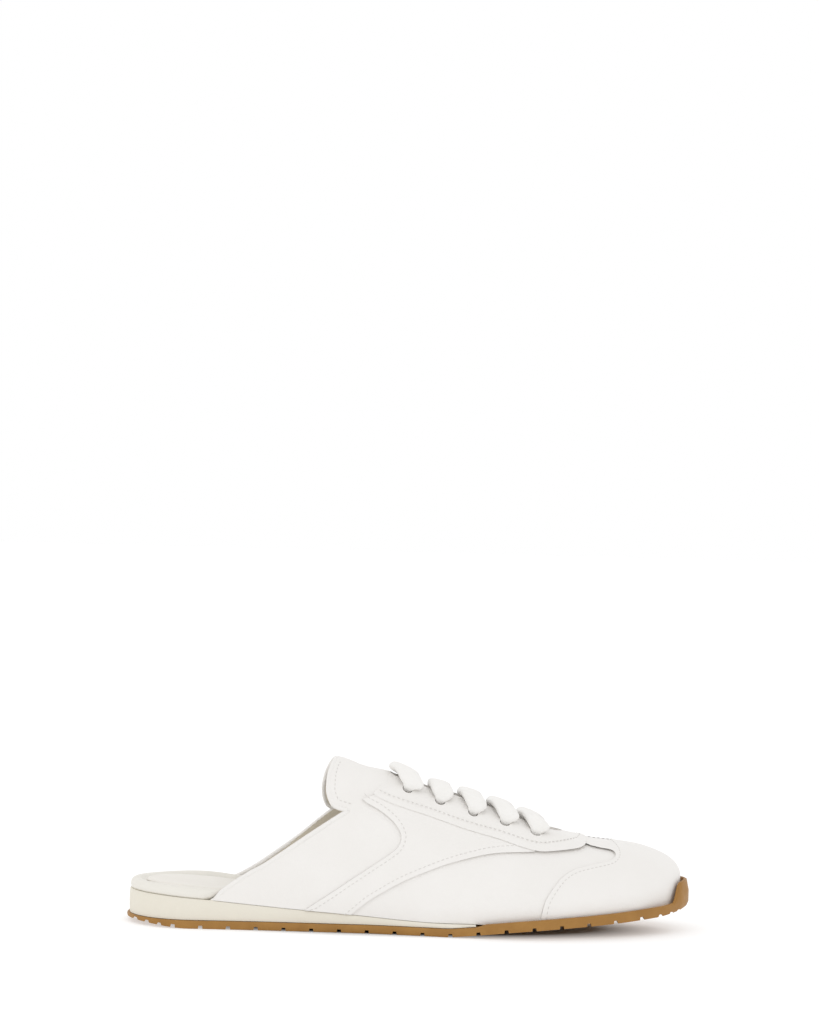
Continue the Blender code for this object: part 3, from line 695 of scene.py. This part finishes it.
def show_mesh(name, mesh, finish, nodes=(), sharp=38.0):
    """Turns a mesh into a finished piece of the shoe."""
    for face in mesh.polygons:
        face.use_smooth = True
    mesh.set_sharp_from_angle(angle=math.radians(sharp))
    mesh.materials.clear()
    mesh.materials.append(finish)
    piece = bpy.data.objects.new(name, mesh)
    bpy.context.scene.collection.objects.link(piece)
    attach(piece, "root")
    if nodes:
        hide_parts(*nodes)
    return piece


def mapped_grid(columns, rows, place, notes=None, weave=None):
    """Grid whose points are put in place by column and row, with its doubles merged."""
    shape = bmesh.new()
    share_note = shape.verts.layers.float.new("share")
    around_note = shape.verts.layers.float.new("around")
    threads = shape.loops.layers.uv.new("weave")
    bmesh.ops.create_grid(shape, x_segments=columns - 1, y_segments=rows - 1, size=1.0)
    for vert in shape.verts:
        column = round((vert.co.x + 1) / 2 * (columns - 1))
        row = round((vert.co.y + 1) / 2 * (rows - 1))
        if weave:
            for corner in vert.link_loops:
                corner[threads].uv = (column * weave[0], row * weave[1])
        if notes:
            vert[share_note], vert[around_note] = notes(column, row)
        vert.co = place(column, row)
    bmesh.ops.remove_doubles(shape, verts=shape.verts, dist=2e-6)
    bmesh.ops.recalc_face_normals(shape, faces=shape.faces)
    return shape


def spread(count, start, end, crowd_start=True):
    """Shares from start to end, crowded towards the toe and, if asked, towards the heel."""
    shares = []
    for k in range(count):
        t = k / (count - 1)
        if crowd_start:
            t -= 0.85 * math.sin(2 * math.pi * t) / (2 * math.pi)
        else:
            t += 0.85 * math.sin(math.pi * t) / math.pi
        shares.append(start + (end - start) * t)
    return shares


def leather_shell(shares, arounds, outer, inner):
    """Closed layer of leather between two distances from the skin, each a function of share and way round."""
    shape = mapped_grid(
        len(shares),
        len(arounds),
        lambda i, j: skin(shares[i], arounds[j]),
        lambda i, j: (shares[i], arounds[j]),
    )
    share_note = shape.verts.layers.float["share"]
    around_note = shape.verts.layers.float["around"]
    shape.normal_update()
    top = max(shape.faces, key=lambda face: face.calc_center_median().z)
    if top.normal.z < 0:
        bmesh.ops.reverse_faces(shape, faces=shape.faces)
        shape.normal_update()
    shape.verts.index_update()
    normals = [vert.normal.copy() for vert in shape.verts]
    for vert, normal in zip(list(shape.verts), normals):
        share, around = vert[share_note], vert[around_note]
        vert.co = vert.co + normal * (outer(share, around) - relief(share, around))
    first = {vert.index: vert.co.copy() for vert in shape.verts}
    pushed = bmesh.ops.extrude_face_region(shape, geom=list(shape.faces))
    moved = [v for v in pushed["geom"] if isinstance(v, bmesh.types.BMVert)]
    outside = {tuple(place): number for number, place in first.items()}
    for vert in moved:
        share, around = vert[share_note], vert[around_note]
        thick = outer(share, around) - inner(share, around)
        vert.co = vert.co - normals[outside[tuple(vert.co)]] * thick
    bmesh.ops.recalc_face_normals(shape, faces=shape.faces)
    return shape


def prism(outline, medial=None):
    """Block that cuts: an outline seen from the side, pushed across the shoe towards a second one, if any."""
    far = BALL_WIDTH * 0.8
    count = len(outline)
    ends = []
    for y in (-far, far):
        part = (y + COLLAR_REACH) / (2 * COLLAR_REACH)
        ends.append([near + (away - near) * part for near, away in zip(outline, medial or outline)])

    def place(i, j):
        """Point of the wall between the two ends."""
        point = ends[j][i % count]
        return Vector((point.x, -far if j == 0 else far, point.y))

    shape = mapped_grid(count + 1, 2, place)
    for y in (-far, far):
        rim = [e for e in shape.edges if all(abs(v.co.y - y) < 1e-6 for v in e.verts)]
        bmesh.ops.contextual_create(shape, geom=rim)
    bmesh.ops.recalc_face_normals(shape, faces=shape.faces)
    return shape


def carve(shape, steps):
    """Cuts a shape by others, each taken away or kept, and gives the mesh."""
    objects = []
    for number, (part, operation) in enumerate([(shape, None), *steps]):
        mesh = bpy.data.meshes.new(f"carving_{number}")
        part.to_mesh(mesh)
        part.free()
        item = bpy.data.objects.new(mesh.name, mesh)
        bpy.context.scene.collection.objects.link(item)
        objects.append((item, operation))
    body = objects[0][0]
    for item, operation in objects[1:]:
        cut = body.modifiers.new(item.name, "BOOLEAN")
        cut.operation = operation
        cut.object = item
        cut.solver = "EXACT"
    result = bpy.data.meshes.new_from_object(body.evaluated_get(bpy.context.evaluated_depsgraph_get()))
    for item, _ in objects:
        bpy.data.objects.remove(item, do_unlink=True)
    return result


def collar_block():
    """All that is open behind and above the collar line."""
    high, back = CREST_HEIGHT * CUT_REACH, -HALF_LENGTH * CUT_REACH
    outlines = []
    for column in (0, 2):
        line = smooth_line(COLLAR, 4, column, column + 1)
        behind = [Vector((line[-1].x + 0.002, high)), Vector((back, high)), Vector((back, line[0].y))]
        outlines.append(line + behind)
    return prism(outlines[0], outlines[1])


def throat_block():
    """Long slot over the tongue, round at its front."""
    shape = bmesh.new()
    start, end = plan_x(THROAT_START), plan_x(THROAT_END)
    middle = read_table(LAST, THROAT_START, 2) * BALL_WIDTH - BOX_MIDDLE
    front = read_table(LAST, THROAT_END, 2) * BALL_WIDTH - BOX_MIDDLE
    made = bmesh.ops.create_circle(shape, cap_ends=True, segments=32, radius=THROAT_HALF_WIDTH)["verts"]
    for vert in made:
        ahead = ease(vert.co.x, -0.0005, 0.0005)
        if vert.co.x < 0:
            vert.co.x = start + (THROAT_HALF_WIDTH + vert.co.x) * 0.5
            vert.co.y = middle + vert.co.y * 0.85
        else:
            vert.co.x = end - THROAT_HALF_WIDTH + vert.co.x
            vert.co.y = middle + (front - middle) * ahead + vert.co.y
        vert.co.z = CREST_HEIGHT * 0.35
    pushed = bmesh.ops.extrude_face_region(shape, geom=list(shape.faces))
    moved = [v for v in pushed["geom"] if isinstance(v, bmesh.types.BMVert)]
    bmesh.ops.translate(shape, verts=moved, vec=(0, 0, CREST_HEIGHT))
    bmesh.ops.recalc_face_normals(shape, faces=shape.faces)
    return shape


def eyelet_block():
    """Ten round holes square to the skin."""
    shape = bmesh.new()
    for share, height, _, _ in EYELETS:
        for side in (LATERAL, MEDIAL):
            around = around_at_height(share, height * CREST_HEIGHT, side)
            point, _, normal = skin_frame(share, around)
            turn = Vector((0, 0, 1)).rotation_difference(normal).to_matrix().to_4x4()
            bmesh.ops.create_cone(
                shape,
                cap_ends=True,
                segments=24,
                radius1=EYELET / 2,
                radius2=EYELET / 2,
                depth=0.014,
                matrix=Matrix.Translation(point) @ turn,
            )
    return shape


def steps_round(low, high, count):
    """Evenly spaced ways round the section."""
    return [low + (high - low) * k / (count - 1) for k in range(count)]


def always(value):
    """The same distance everywhere."""
    return lambda share, around: value


def tube(name, places, radius, sink, finish, sides=10):
    """Round roll of leather along a line of the skin, thinning at its ends."""
    frames = [skin_frame(share, around) for share, around in places]
    points = [point - normal * sink for point, _, normal in frames]
    count = len(points)

    def place(i, j):
        """Point round the roll."""
        run = (points[min(i + 1, count - 1)] - points[max(i - 1, 0)]).normalized()
        up = frames[i][2]
        out = run.cross(up).normalized()
        lift = out.cross(run).normalized()
        angle = 2 * math.pi * (j % sides) / sides
        size = radius * min(1.0, math.sqrt(min(i, count - 1 - i) / 4.0))
        return points[i] + (out * math.cos(angle) + lift * math.sin(angle)) * size

    shape = mapped_grid(count, sides + 1, place)
    return show(name, shape, finish, sharp=180.0)


def even_places(line, side, pitch, medial_line=None):
    """Points of the skin at an even pitch along a line, with their directions and normals."""
    laid = lay_on_skin(line, side, medial_line)
    points = [skin(share, around) for share, around in laid]
    spots, walked = [], 0.0
    for (first, second), (place, after) in zip(zip(points, points[1:]), zip(laid, laid[1:])):
        length = (second - first).length
        while length > 0 and walked <= length:
            t = walked / length
            share = place[0] + (after[0] - place[0]) * t
            around = place[1] + (after[1] - place[1]) * t
            spots.append((share, around, (second - first).normalized()))
            walked += pitch
        walked -= length
    return spots


def sew(name, rows, lift):
    """Rows of short thread stitches, each half sunk in the leather."""
    shape = bmesh.new()
    for line, side, medial_line in rows:
        for share, around, run in even_places(line, side, STITCH_PITCH, medial_line):
            point, _, normal = skin_frame(share, around)
            out = run.cross(normal).normalized()
            turn = Matrix((run, out, out.cross(run) * -1.0)).transposed().to_4x4()
            size = Matrix.Diagonal((STITCH_LENGTH / 2, STITCH_THICK / 2, STITCH_THICK / 2, 1.0))
            where = Matrix.Translation(point + normal * (lift - relief(share, around)))
            whole = where @ turn @ size
            bmesh.ops.create_uvsphere(shape, u_segments=6, v_segments=5, radius=1.0, matrix=whole)
    bmesh.ops.recalc_face_normals(shape, faces=shape.faces)
    return show(name, shape, THREAD_AND_HOLE_SHADE, sharp=180.0)


def ring_body(shares, section):
    """Closed body along the shoe from a section of (side, inset, height) rows at each share."""
    rings = [section(share) for share in shares]
    count = len(rings[0])

    def place(i, j):
        """Point of one section."""
        side, inset, height = rings[i][j % count]
        return sole_point(shares[i], side, inset, height)

    return mapped_grid(len(shares), count + 1, place)


def closed_section(profile, across=(0.66, 0.33, 0.0)):
    """Section from a profile of (inset, height) for each side, with points across its top and bottom."""
    rows = [(LATERAL, *profile(LATERAL)[k]) for k in range(len(profile(LATERAL)))]
    other = [(MEDIAL, *row) for row in profile(MEDIAL)]
    ways = [-part for part in across] + [part for part in across[-2::-1]]
    top = []
    bottom = []
    for way in ways:
        blend = (way + 1) / 2
        high = rows[-1][2] + (other[-1][2] - rows[-1][2]) * blend
        low = rows[0][2] + (other[0][2] - rows[0][2]) * blend
        top.append((way, rows[-1][1], high))
        bottom.append((way, rows[0][1], low))
    return rows + top + other[::-1] + bottom[::-1]


def add_groove(shape, place, width, depth, flare):
    """One cross groove, narrower at its bottom, square to the underside at its place."""
    share = place / LENGTH
    slope = math.atan2(underside(share + 0.01) - underside(share - 0.01), 0.02 * LENGTH)
    below = 0.006
    made = bmesh.ops.create_cube(shape, size=1.0)["verts"]
    bmesh.ops.scale(shape, verts=made, vec=(width, BALL_WIDTH * CUT_REACH, depth + below))
    bmesh.ops.translate(shape, verts=made, vec=(0, 0, (depth - below) / 2))
    for vert in made:
        if vert.co.z < 0:
            vert.co.x *= 1 + flare / width * (below + depth) / depth
    bmesh.ops.transform(shape, verts=made, matrix=Matrix.Rotation(-slope, 4, "Y"))
    bmesh.ops.translate(shape, verts=made, vec=(place - HALF_LENGTH, 0, underside(share)))


# Gum outsole
def gum_section(share):
    """Section of the gum outsole, with its lip and toe bumper."""
    under = SOLE_EDGE_ROUND + TOE_UNDER_ROUND * ease(share, TOE_UNDER_START, 1.0)
    lean = BUMPER_LEAN * ease(share, BUMPER_START, BUMPER_FULL)
    top = gum_top(share) + lip(share)
    low = underside(share)

    def profile(side):
        """The same on both sides."""
        return (
            (under, low),
            (under * 0.3, low + under * 0.3),
            (0.0, low + under),
            (0.0, (low + under + top) / 2),
            (lean, top - SOLE_EDGE_ROUND),
            (lean + SOLE_EDGE_ROUND * 0.3, top - SOLE_EDGE_ROUND * 0.3),
            (lean + SOLE_EDGE_ROUND, top),
            (lean + GUM_LIP_WIDTH, top),
            (lean + GUM_LIP_WIDTH + 0.0003, gum_top(share)),
        )

    return closed_section(profile)


grooves = bmesh.new()
for number in range(GROOVES):
    add_groove(grooves, FIRST_GROOVE + number * GROOVE_PITCH, GROOVE_WIDTH, GROOVE_DEPTH, GROOVE_FLARE)
for share in FINE_GROOVES:
    add_groove(grooves, share * LENGTH, FINE_GROOVE_WIDTH / 2, FINE_GROOVE_DEPTH, FINE_GROOVE_WIDTH / 2)
gum_shares = sorted(spread(110, 0.0, 1.0) + [0.552, 0.568, 0.584, 0.600, LIP_START, LIP_FULL])
gum = carve(ring_body(gum_shares, gum_section), [(grooves, "DIFFERENCE")])
show_mesh("gum_sole", gum, GUM_RUBBER, ("outsole",), 30.0)


# Cream wedge
def wedge_section(share):
    """Section of the foam wedge."""
    top = wedge_top(share)
    low = gum_top(share) + 0.0003
    mid = (low + top) / 2

    def profile(side):
        """The same on both sides."""
        return (
            (WEDGE_INSET, low),
            (WEDGE_INSET - 0.0002, mid),
            (WEDGE_INSET, top - WEDGE_EDGE_ROUND),
            (WEDGE_INSET + WEDGE_EDGE_ROUND * 0.3, top - WEDGE_EDGE_ROUND * 0.3),
            (WEDGE_INSET + WEDGE_EDGE_ROUND, top),
        )

    return closed_section(profile)


wedge_shares = sorted([WEDGE_END * (1 - share) for share in spread(80, 0.0, 1.0, False)])
show("wedge_foam", ring_body(wedge_shares, wedge_section), FOAM, ("midsole",), 50.0)


# Footbed and sock lining
def footbed_inset(share, part):
    """The wrapped seat shows at the heel and steps in behind the wings."""
    inside = upper_inset(share) + WALL + FOOTBED_GAP
    lean = STEP_LEAN * part
    return FOOTBED_INSET + (inside - FOOTBED_INSET) * ease(share, STEP_START + lean, STEP_END + lean)


def rim_height(share):
    """Height of the footbed's rim, lower in the forefoot."""
    return RIM_HEIGHT + (BOARD_HEIGHT - RIM_HEIGHT) * ease(share, *RIM_FADE)


def dish(share):
    """Height of the footbed's dish."""
    return seat(share) + rim_height(share) * (1 - DISH_DEPTH / RIM_HEIGHT)


def footbed_section(share):
    """Section of the wrapped footbed, rounded over its rim."""

    def profile(side):
        """Outer wall, round rim and inner slope on one side."""
        full = rim_height(share) + ARCH_RISE * ease(share, *ARCH) * (1 + side) / 2
        rows = []
        for part, depth in ((0.0, 0.0005), (0.15, 0.0001), (0.35, -0.0002), (0.60, 0.0001)):
            rows.append((footbed_inset(share, part) + depth, seat(share) + full * part))
        for angle in (20, 42, 62, 80, 96):
            turn = math.radians(angle)
            part = 0.60 + 0.40 * math.sin(turn)
            depth = 0.0001 + RIM_ROUND * 1.3 * (1 - math.cos(turn))
            rows.append((footbed_inset(share, part) + depth, seat(share) + full * part))
        start = rows[-1]
        end = (footbed_inset(share, 1.0) + DISH_INSET, dish(share))
        for t in (0.3, 0.65, 1.0):
            inset = start[0] + (end[0] - start[0]) * t
            rows.append((inset, start[1] + (end[1] - start[1]) * t * t * (3 - 2 * t)))
        return rows

    return closed_section(profile)


def sock_section(share):
    """Section of the sock lining laid in the dish."""
    out = footbed_inset(share, 1.0) + DISH_INSET - 0.0012
    low = dish(share) + 0.0002

    def profile(side):
        """Thin sheet with a folded edge."""
        return (
            (out + 0.0018, low),
            (out + 0.0012, low + INSOLE * 0.4),
            (out + 0.0016, low + INSOLE * 0.8),
            (out + 0.0026, low + INSOLE),
            (out + 0.0046, low + INSOLE * 0.95),
        )

    return closed_section(profile)


STEP_ROWS = [STEP_START, STEP_END, STEP_START + STEP_LEAN, STEP_END + STEP_LEAN]
bed_shares = sorted(spread(110, 0.0, 1.0) + STEP_ROWS)
show("footbed_wrap", ring_body(bed_shares, footbed_section), BEDDING, ("footbed",), 60.0)
show("sock_lining_pad", ring_body(bed_shares, sock_section), SOCK, ("insole",), 60.0)


# Upper with its lining and overlays
SKIN_SHARES = spread(104, UPPER_START, 1.0, False)
SKIN_AROUND = steps_round(-1.0, 1.0, 89)
LINING_THICK = 0.0009

outer_wall = leather_shell(SKIN_SHARES, SKIN_AROUND, always(0.0), always(LINING_THICK - WALL))
cut = [(collar_block(), "DIFFERENCE"), (throat_block(), "DIFFERENCE"), (eyelet_block(), "DIFFERENCE")]
show_mesh("upper_leather", carve(outer_wall, cut), WHITE, ("upper",))
lining_shares = spread(70, UPPER_START, 1.0, False)
lining_around = steps_round(-1.0, 1.0, 61)
inner_wall = leather_shell(lining_shares, lining_around, always(LINING_THICK - WALL), always(-WALL))
cut = [(collar_block(), "DIFFERENCE"), (throat_block(), "DIFFERENCE"), (eyelet_block(), "DIFFERENCE")]
show_mesh("upper_lining", carve(inner_wall, cut), LINING)

collar_lateral = smooth_line(COLLAR, 4)
collar_medial = smooth_line(COLLAR, 4, 2, 3)
over_collar = [p for p in lay_on_skin(collar_lateral, LATERAL, collar_medial) if abs(p[1]) > 0.03]
back_down = [p for p in lay_on_skin(collar_lateral, MEDIAL, collar_medial) if abs(p[1]) > 0.03]
tube("collar_roll", over_collar + back_down[::-1], COLLAR_ROLL, COLLAR_ROLL_SINK, WHITE)

rear_seam = smooth_line(PANEL_REAR_EDGE)
lower_seam = smooth_line(PANEL_LOWER_EDGE + ((0.716, 0.489),))
stay_seam = smooth_line(EYESTAY_EDGE)
toe_seam = smooth_line(TOE_CAP_EDGE)


def panel_outline():
    """Side panel between its two seams, up to the eyestay's edge."""
    tip = lower_seam[-1].x
    upper = smooth_line(EYESTAY_EDGE[EYESTAY_CORNER_ROW:])
    under = [Vector((p.x, p.y + 0.0015)) for p in reversed(upper) if p.x < tip]
    foot = [Vector((rear_seam[-1].x, 0.0)), Vector((lower_seam[0].x, 0.0))]
    return rear_seam + foot + lower_seam[:-1] + under


PANEL_SHARES = [0.27 + 0.49 * k / 73 for k in range(74)]
for side, word in ((LATERAL, "lateral"), (MEDIAL, "medial")):
    low, high = (-1.0, -0.12) if side == LATERAL else (0.12, 1.0)
    layer = leather_shell(PANEL_SHARES, steps_round(low, high, 49), always(OVERLAY), always(OVERLAY_GAP))
    mesh = carve(layer, [(prism(panel_outline()), "INTERSECT")])
    show_mesh(f"side_panel_{word}_leather", mesh, WHITE, (f"side_panel_{word}",))


stay_places = lay_on_skin(stay_seam, LATERAL)
stay_reach = sorted((share, abs(around)) for share, around in stay_places[20:])


def stay_height(share, around):
    """The eyestay is thin at its seam, full under the laces, and runs out into the crest behind."""
    high = skin(share, around).z / CREST_HEIGHT
    full = EYESTAY_SEAM + (EYESTAY - EYESTAY_SEAM) * ease(read_table(stay_reach, share) - abs(around), 0.0, 0.16)
    return full - (full + EYESTAY_END) * ease(high, 0.78, 0.86) * (1 - ease(share, 0.445, 0.50))


high = CREST_HEIGHT * CUT_REACH
stay_outline = stay_seam + [Vector((stay_seam[-1].x, high)), Vector((stay_seam[0].x, high))]
stay_shares = [0.40 + 0.43 * k / 79 for k in range(80)]
layer = leather_shell(stay_shares, steps_round(-0.86, 0.86, 85), stay_height, always(-EYESTAY_ROOT))
cut = [(prism(stay_outline), "INTERSECT"), (throat_block(), "DIFFERENCE"), (eyelet_block(), "DIFFERENCE")]
show_mesh("eyestay_leather", carve(layer, cut), WHITE, ("eyestay",))

front = HALF_LENGTH * CUT_REACH
start = stay_seam[-1].x - 0.0050
cap_rim = [(front, 0.0), (front, high), (start, high), (start, toe_seam[0].y + 0.002)]
cap_outline = toe_seam + [Vector((toe_seam[-1].x, 0.0))] + [Vector(point) for point in cap_rim]
cap_shares = spread(60, CAP_REAR, 1.0, False)
layer = leather_shell(cap_shares, SKIN_AROUND, always(OVERLAY), always(OVERLAY_GAP))
mesh = carve(layer, [(prism(cap_outline), "INTERSECT")])
show_mesh("toe_cap_leather", mesh, WHITE, ("toe_cap",))


# Tongue
def tongue_face(share, around):
    """The pad swells along its middle and thins to its edges."""
    across = abs(skin(share, around).y - skin(share, 0.0).y) / TONGUE_HALF_WIDTH
    ends = ease(share, TONGUE_REAR, TONGUE_REAR + 0.02) * (1 - ease(share, TONGUE_FRONT - 0.03, TONGUE_FRONT))
    return -WALL - 0.0003 - 0.0012 * (1 - ends) - 0.0008 * min(1.0, across) ** 3


def tongue_back(share, around):
    """Inner face of the pad."""
    return -WALL - 0.0003 - TONGUE + 0.0004


window = bmesh.new()
made = bmesh.ops.create_cube(window, size=1.0)["verts"]
tongue_start, tongue_end = plan_x(TONGUE_REAR), plan_x(TONGUE_FRONT)
bmesh.ops.scale(window, verts=made, vec=(tongue_end - tongue_start, 2 * TONGUE_HALF_WIDTH, CREST_HEIGHT))
bmesh.ops.translate(window, verts=made, vec=((tongue_start + tongue_end) / 2, 0, CREST_HEIGHT))
tongue_shares = [TONGUE_REAR - 0.01 + 0.38 * k / 49 for k in range(50)]
layer = leather_shell(tongue_shares, steps_round(-0.75, 0.75, 49), tongue_face, tongue_back)
tongue = show_mesh("tongue_pad", carve(layer, [(window, "INTERSECT")]), WHITE, ("tongue",))


# Laces
LACE_SECTION = 22
LACE_RINGS = 64


def lace_way(lace_width):
    """Rows along a lace from under one eyelet to the crown: way out, height, width, thickness."""
    over = EYESTAY + 0.0006
    full = over + LACE_THICKNESS / 2
    flat = LACE_THICKNESS / 2 + 0.0002
    return (
        (0.00, flat, lace_width, LACE_THICKNESS),
        (0.26, flat + 0.0007, lace_width, LACE_THICKNESS),
        (0.48, full + 0.0003, lace_width * 1.04, LACE_THICKNESS),
        (0.68, full + 0.0004, lace_width * 1.02, LACE_THICKNESS * 1.05),
        (0.83, full + 0.0001, lace_width * 0.95, LACE_THICKNESS * 1.05),
        (0.905, over + 0.0011, lace_width * 0.78, LACE_THICKNESS * 0.95),
        (0.950, over - 0.0001, 0.0058, 0.0030),
        (0.962, 0.0008, 0.0042, 0.0026),
        (0.966, -0.0012, 0.0036, 0.0024),
    )


def make_lace(number, row):
    """Fat flat lace over the throat, gathered into its two eyelets."""
    share, height, lace_width, lean = row
    rows = lace_way(lace_width)
    ordered = [(index, *way) for index, way in enumerate(rows)]
    half = []
    for k in range(LACE_RINGS // 2 + 1):
        t = k / (LACE_RINGS // 2) * (len(rows) - 1)
        half.append([read_table(ordered, t, column) for column in (1, 2, 3, 4)])
    ways = [(LATERAL, way) for way in half[::-1]] + [(MEDIAL, way) for way in half[1:]]
    frames = []
    for side, (out, lift, width, thickness) in ways:
        around = around_at_height(share, height * CREST_HEIGHT, side) * out
        forward = 0.0007 * ease(1 - out, 0.02, 0.08) * (1 - ease(1 - out, 0.12, 0.5))
        shift = (lean * ease(1 - out, 0.15, 0.8) - forward) / LENGTH
        point, along, normal = skin_frame(share - shift, around)
        frames.append((point + normal * lift, along, normal, width, thickness))
    count = len(frames)

    def place(i, j):
        """Point round the lace, full at its sides."""
        middle, along, normal, width, thickness = frames[i]
        before, after = frames[max(i - 1, 0)][0], frames[min(i + 1, count - 1)][0]
        run = (after - before).normalized()
        up = run.cross(along).normalized()
        if up.dot(normal) < 0:
            up = -up
        angle = 2 * math.pi * (j % LACE_SECTION) / LACE_SECTION
        c, s = math.cos(angle), math.sin(angle)
        wide = math.copysign(abs(c) ** 0.75, c) * width / 2
        thick = math.copysign(abs(s) ** 0.80, s) * thickness / 2
        return middle + along * wide + up * thick

    shape = mapped_grid(count, LACE_SECTION + 1, place, weave=(0.0009, 0.0012))
    for end in (0, count - 1):
        centre = frames[end][0]
        rim = [e for e in shape.edges if e.is_boundary and (e.verts[0].co - centre).length < 0.006]
        bmesh.ops.contextual_create(shape, geom=rim)
    bmesh.ops.recalc_face_normals(shape, faces=shape.faces)
    show(f"lace_{number}", shape, LACING, (f"lace_bar_{number}",), 60.0)


for number, row in enumerate(EYELETS, 1):
    make_lace(number, row)


# Dark discs set in the eyelet holes behind the laces: painted shade where the open holes lie in shadow
painted_shade_cups = bmesh.new()
for share, height, _, _ in EYELETS:
    for side in (LATERAL, MEDIAL):
        around = around_at_height(share, height * CREST_HEIGHT, side)
        point, _, normal = skin_frame(share, around)
        turn = Vector((0, 0, 1)).rotation_difference(normal).to_matrix().to_4x4()
        made = bmesh.ops.create_circle(painted_shade_cups, cap_ends=True, segments=24, radius=EYELET / 2 - 0.0001)["verts"]
        bmesh.ops.translate(painted_shade_cups, verts=made, vec=(0, 0, 0.0004))
        faces = list({face for vert in made for face in vert.link_faces})
        pushed = bmesh.ops.extrude_face_region(painted_shade_cups, geom=faces)
        base = [v for v in pushed["geom"] if isinstance(v, bmesh.types.BMVert)]
        bmesh.ops.translate(painted_shade_cups, verts=base, vec=(0, 0, -0.0004))
        bmesh.ops.transform(painted_shade_cups, verts=made + base, matrix=Matrix.Translation(point) @ turn)
bmesh.ops.recalc_face_normals(painted_shade_cups, faces=painted_shade_cups.faces)
show("eyelet_shade", painted_shade_cups, PAINTED_HOLE_SHADE)

# Stitches beside the seams
beside_collar = beside(collar_lateral, -CREST_STITCH)
crest_edge = [p for p in beside_collar if CREST_ROW[0] * CREST_HEIGHT < p.y < CREST_ROW[1] * CREST_HEIGHT]
sides = (LATERAL, MEDIAL)
panel_rear_rows = [(beside(rear_seam, PANEL_STITCH), side, None) for side in sides]
sew("stitches_panel_rear", panel_rear_rows, OVERLAY)
sew("stitches_panel_front", [(beside(lower_seam, FRONT_STITCH), side, None) for side in sides], OVERLAY)
sew("stitches_eyestay", [(beside(stay_seam[20:], PANEL_STITCH), side, None) for side in sides], EYESTAY)
sew("stitches_toe_cap", [(beside(toe_seam, PANEL_STITCH), side, None) for side in sides], OVERLAY)
sew("stitches_crest", [(crest_edge, side, None) for side in sides], 0.0)

# Floor, grey but glowing outside an ellipse round the shoe and not beneath it: painted light that washes out the
# shoe's cast shadow
stage = bmesh.new()
bmesh.ops.create_grid(stage, x_segments=8, y_segments=8, size=4.0)
floor_mesh = bpy.data.meshes.new("floor")
stage.to_mesh(floor_mesh)
stage.free()
GLOWING_FLOOR, floor_tree, floor_shader = new_finish("glow_lit_floor", (0.52, 0.52, 0.52), 0.8)
floor_shader.inputs["Emission Color"].default_value = (1.0, 1.0, 1.0, 1.0)
floor_place = floor_tree.nodes.new("ShaderNodeTexCoord")
floor_fit = floor_tree.nodes.new("ShaderNodeMapping")
floor_fit.inputs["Scale"].default_value = (1 / 0.128, 1 / 0.044, 1.0)
floor_reach = floor_tree.nodes.new("ShaderNodeVectorMath")
floor_reach.operation = "LENGTH"
# Glow rises from none under the shoe to full beyond it: painted light from a floor that is no lamp
glow = add_node(floor_tree, "ShaderNodeMapRange", From_Min=0.70, From_Max=1.0, To_Min=0.0, To_Max=0.52)
floor_tree.links.new(floor_place.outputs["Object"], floor_fit.inputs["Vector"])
floor_tree.links.new(floor_fit.outputs["Vector"], floor_reach.inputs[0])
floor_tree.links.new(floor_reach.outputs["Value"], glow.inputs["Value"])
floor_tree.links.new(glow.outputs["Result"], floor_shader.inputs["Emission Strength"])
floor_mesh.materials.append(GLOWING_FLOOR)
floor = bpy.data.objects.new("floor", floor_mesh)
bpy.context.scene.collection.objects.link(floor)

# Camera, as the photo was taken
AIM = Vector((0.0, 0.0, 0.035))
SIDE_TURN, LIFT_ANGLE, ROLL = math.radians(2.5), math.radians(7.0), math.radians(1.6)
DISTANCE = 1.848
LENS, SENSOR = 135.0, 36.0
IMAGE_WIDTH, IMAGE_HEIGHT = 819, 1024
AIM_PIXEL = (411, 852)
PIXEL = SENSOR / IMAGE_HEIGHT / LENS
camera_data = bpy.data.cameras.new("camera")
camera_data.lens = LENS
camera_data.sensor_width = SENSOR
camera_data.sensor_height = SENSOR
camera_data.clip_end = 50.0
camera = bpy.data.objects.new("camera", camera_data)
bpy.context.scene.collection.objects.link(camera)
back = Vector(
    (
        -math.sin(SIDE_TURN) * math.cos(LIFT_ANGLE),
        -math.cos(SIDE_TURN) * math.cos(LIFT_ANGLE),
        math.sin(LIFT_ANGLE),
    )
)
right = Vector((math.cos(SIDE_TURN), -math.sin(SIDE_TURN), 0.0))
up = back.cross(right)
rolled_right = right * math.cos(ROLL) + up * math.sin(ROLL)
rolled_up = up * math.cos(ROLL) - right * math.sin(ROLL)
across = (AIM_PIXEL[0] - IMAGE_WIDTH / 2) * PIXEL
down = (AIM_PIXEL[1] - IMAGE_HEIGHT / 2) * PIXEL
towards = Vector((across, -down, -1.0)).normalized()
swing = Vector((0, 0, -1)).rotation_difference(towards).to_matrix()
turned = Matrix((rolled_right, rolled_up, back)).transposed() @ swing.inverted()
camera.matrix_world = Matrix.Translation(AIM + back * DISTANCE) @ turned.to_4x4()
bpy.context.scene.camera = camera

# Light
bpy.context.scene.view_settings.view_transform = "Standard"
world = bpy.data.worlds.new("white_studio")
bpy.context.scene.world = world
world.use_nodes = True
world.node_tree.nodes["Background"].inputs["Color"].default_value = (1.0, 1.0, 1.0, 1.0)
world.node_tree.nodes["Background"].inputs["Strength"].default_value = 1.0
KEY_PLACE = Vector((-0.9, -1.3, 2.0))
key = bpy.data.lights.new("key", "AREA")
key.shape = "DISK"
key.size = 1.6
key.energy = 3.2
lamp = bpy.data.objects.new("key", key)
lamp.location = KEY_PLACE
lamp.rotation_euler = (AIM - KEY_PLACE).to_track_quat("-Z", "Y").to_euler()
bpy.context.scene.collection.objects.link(lamp)
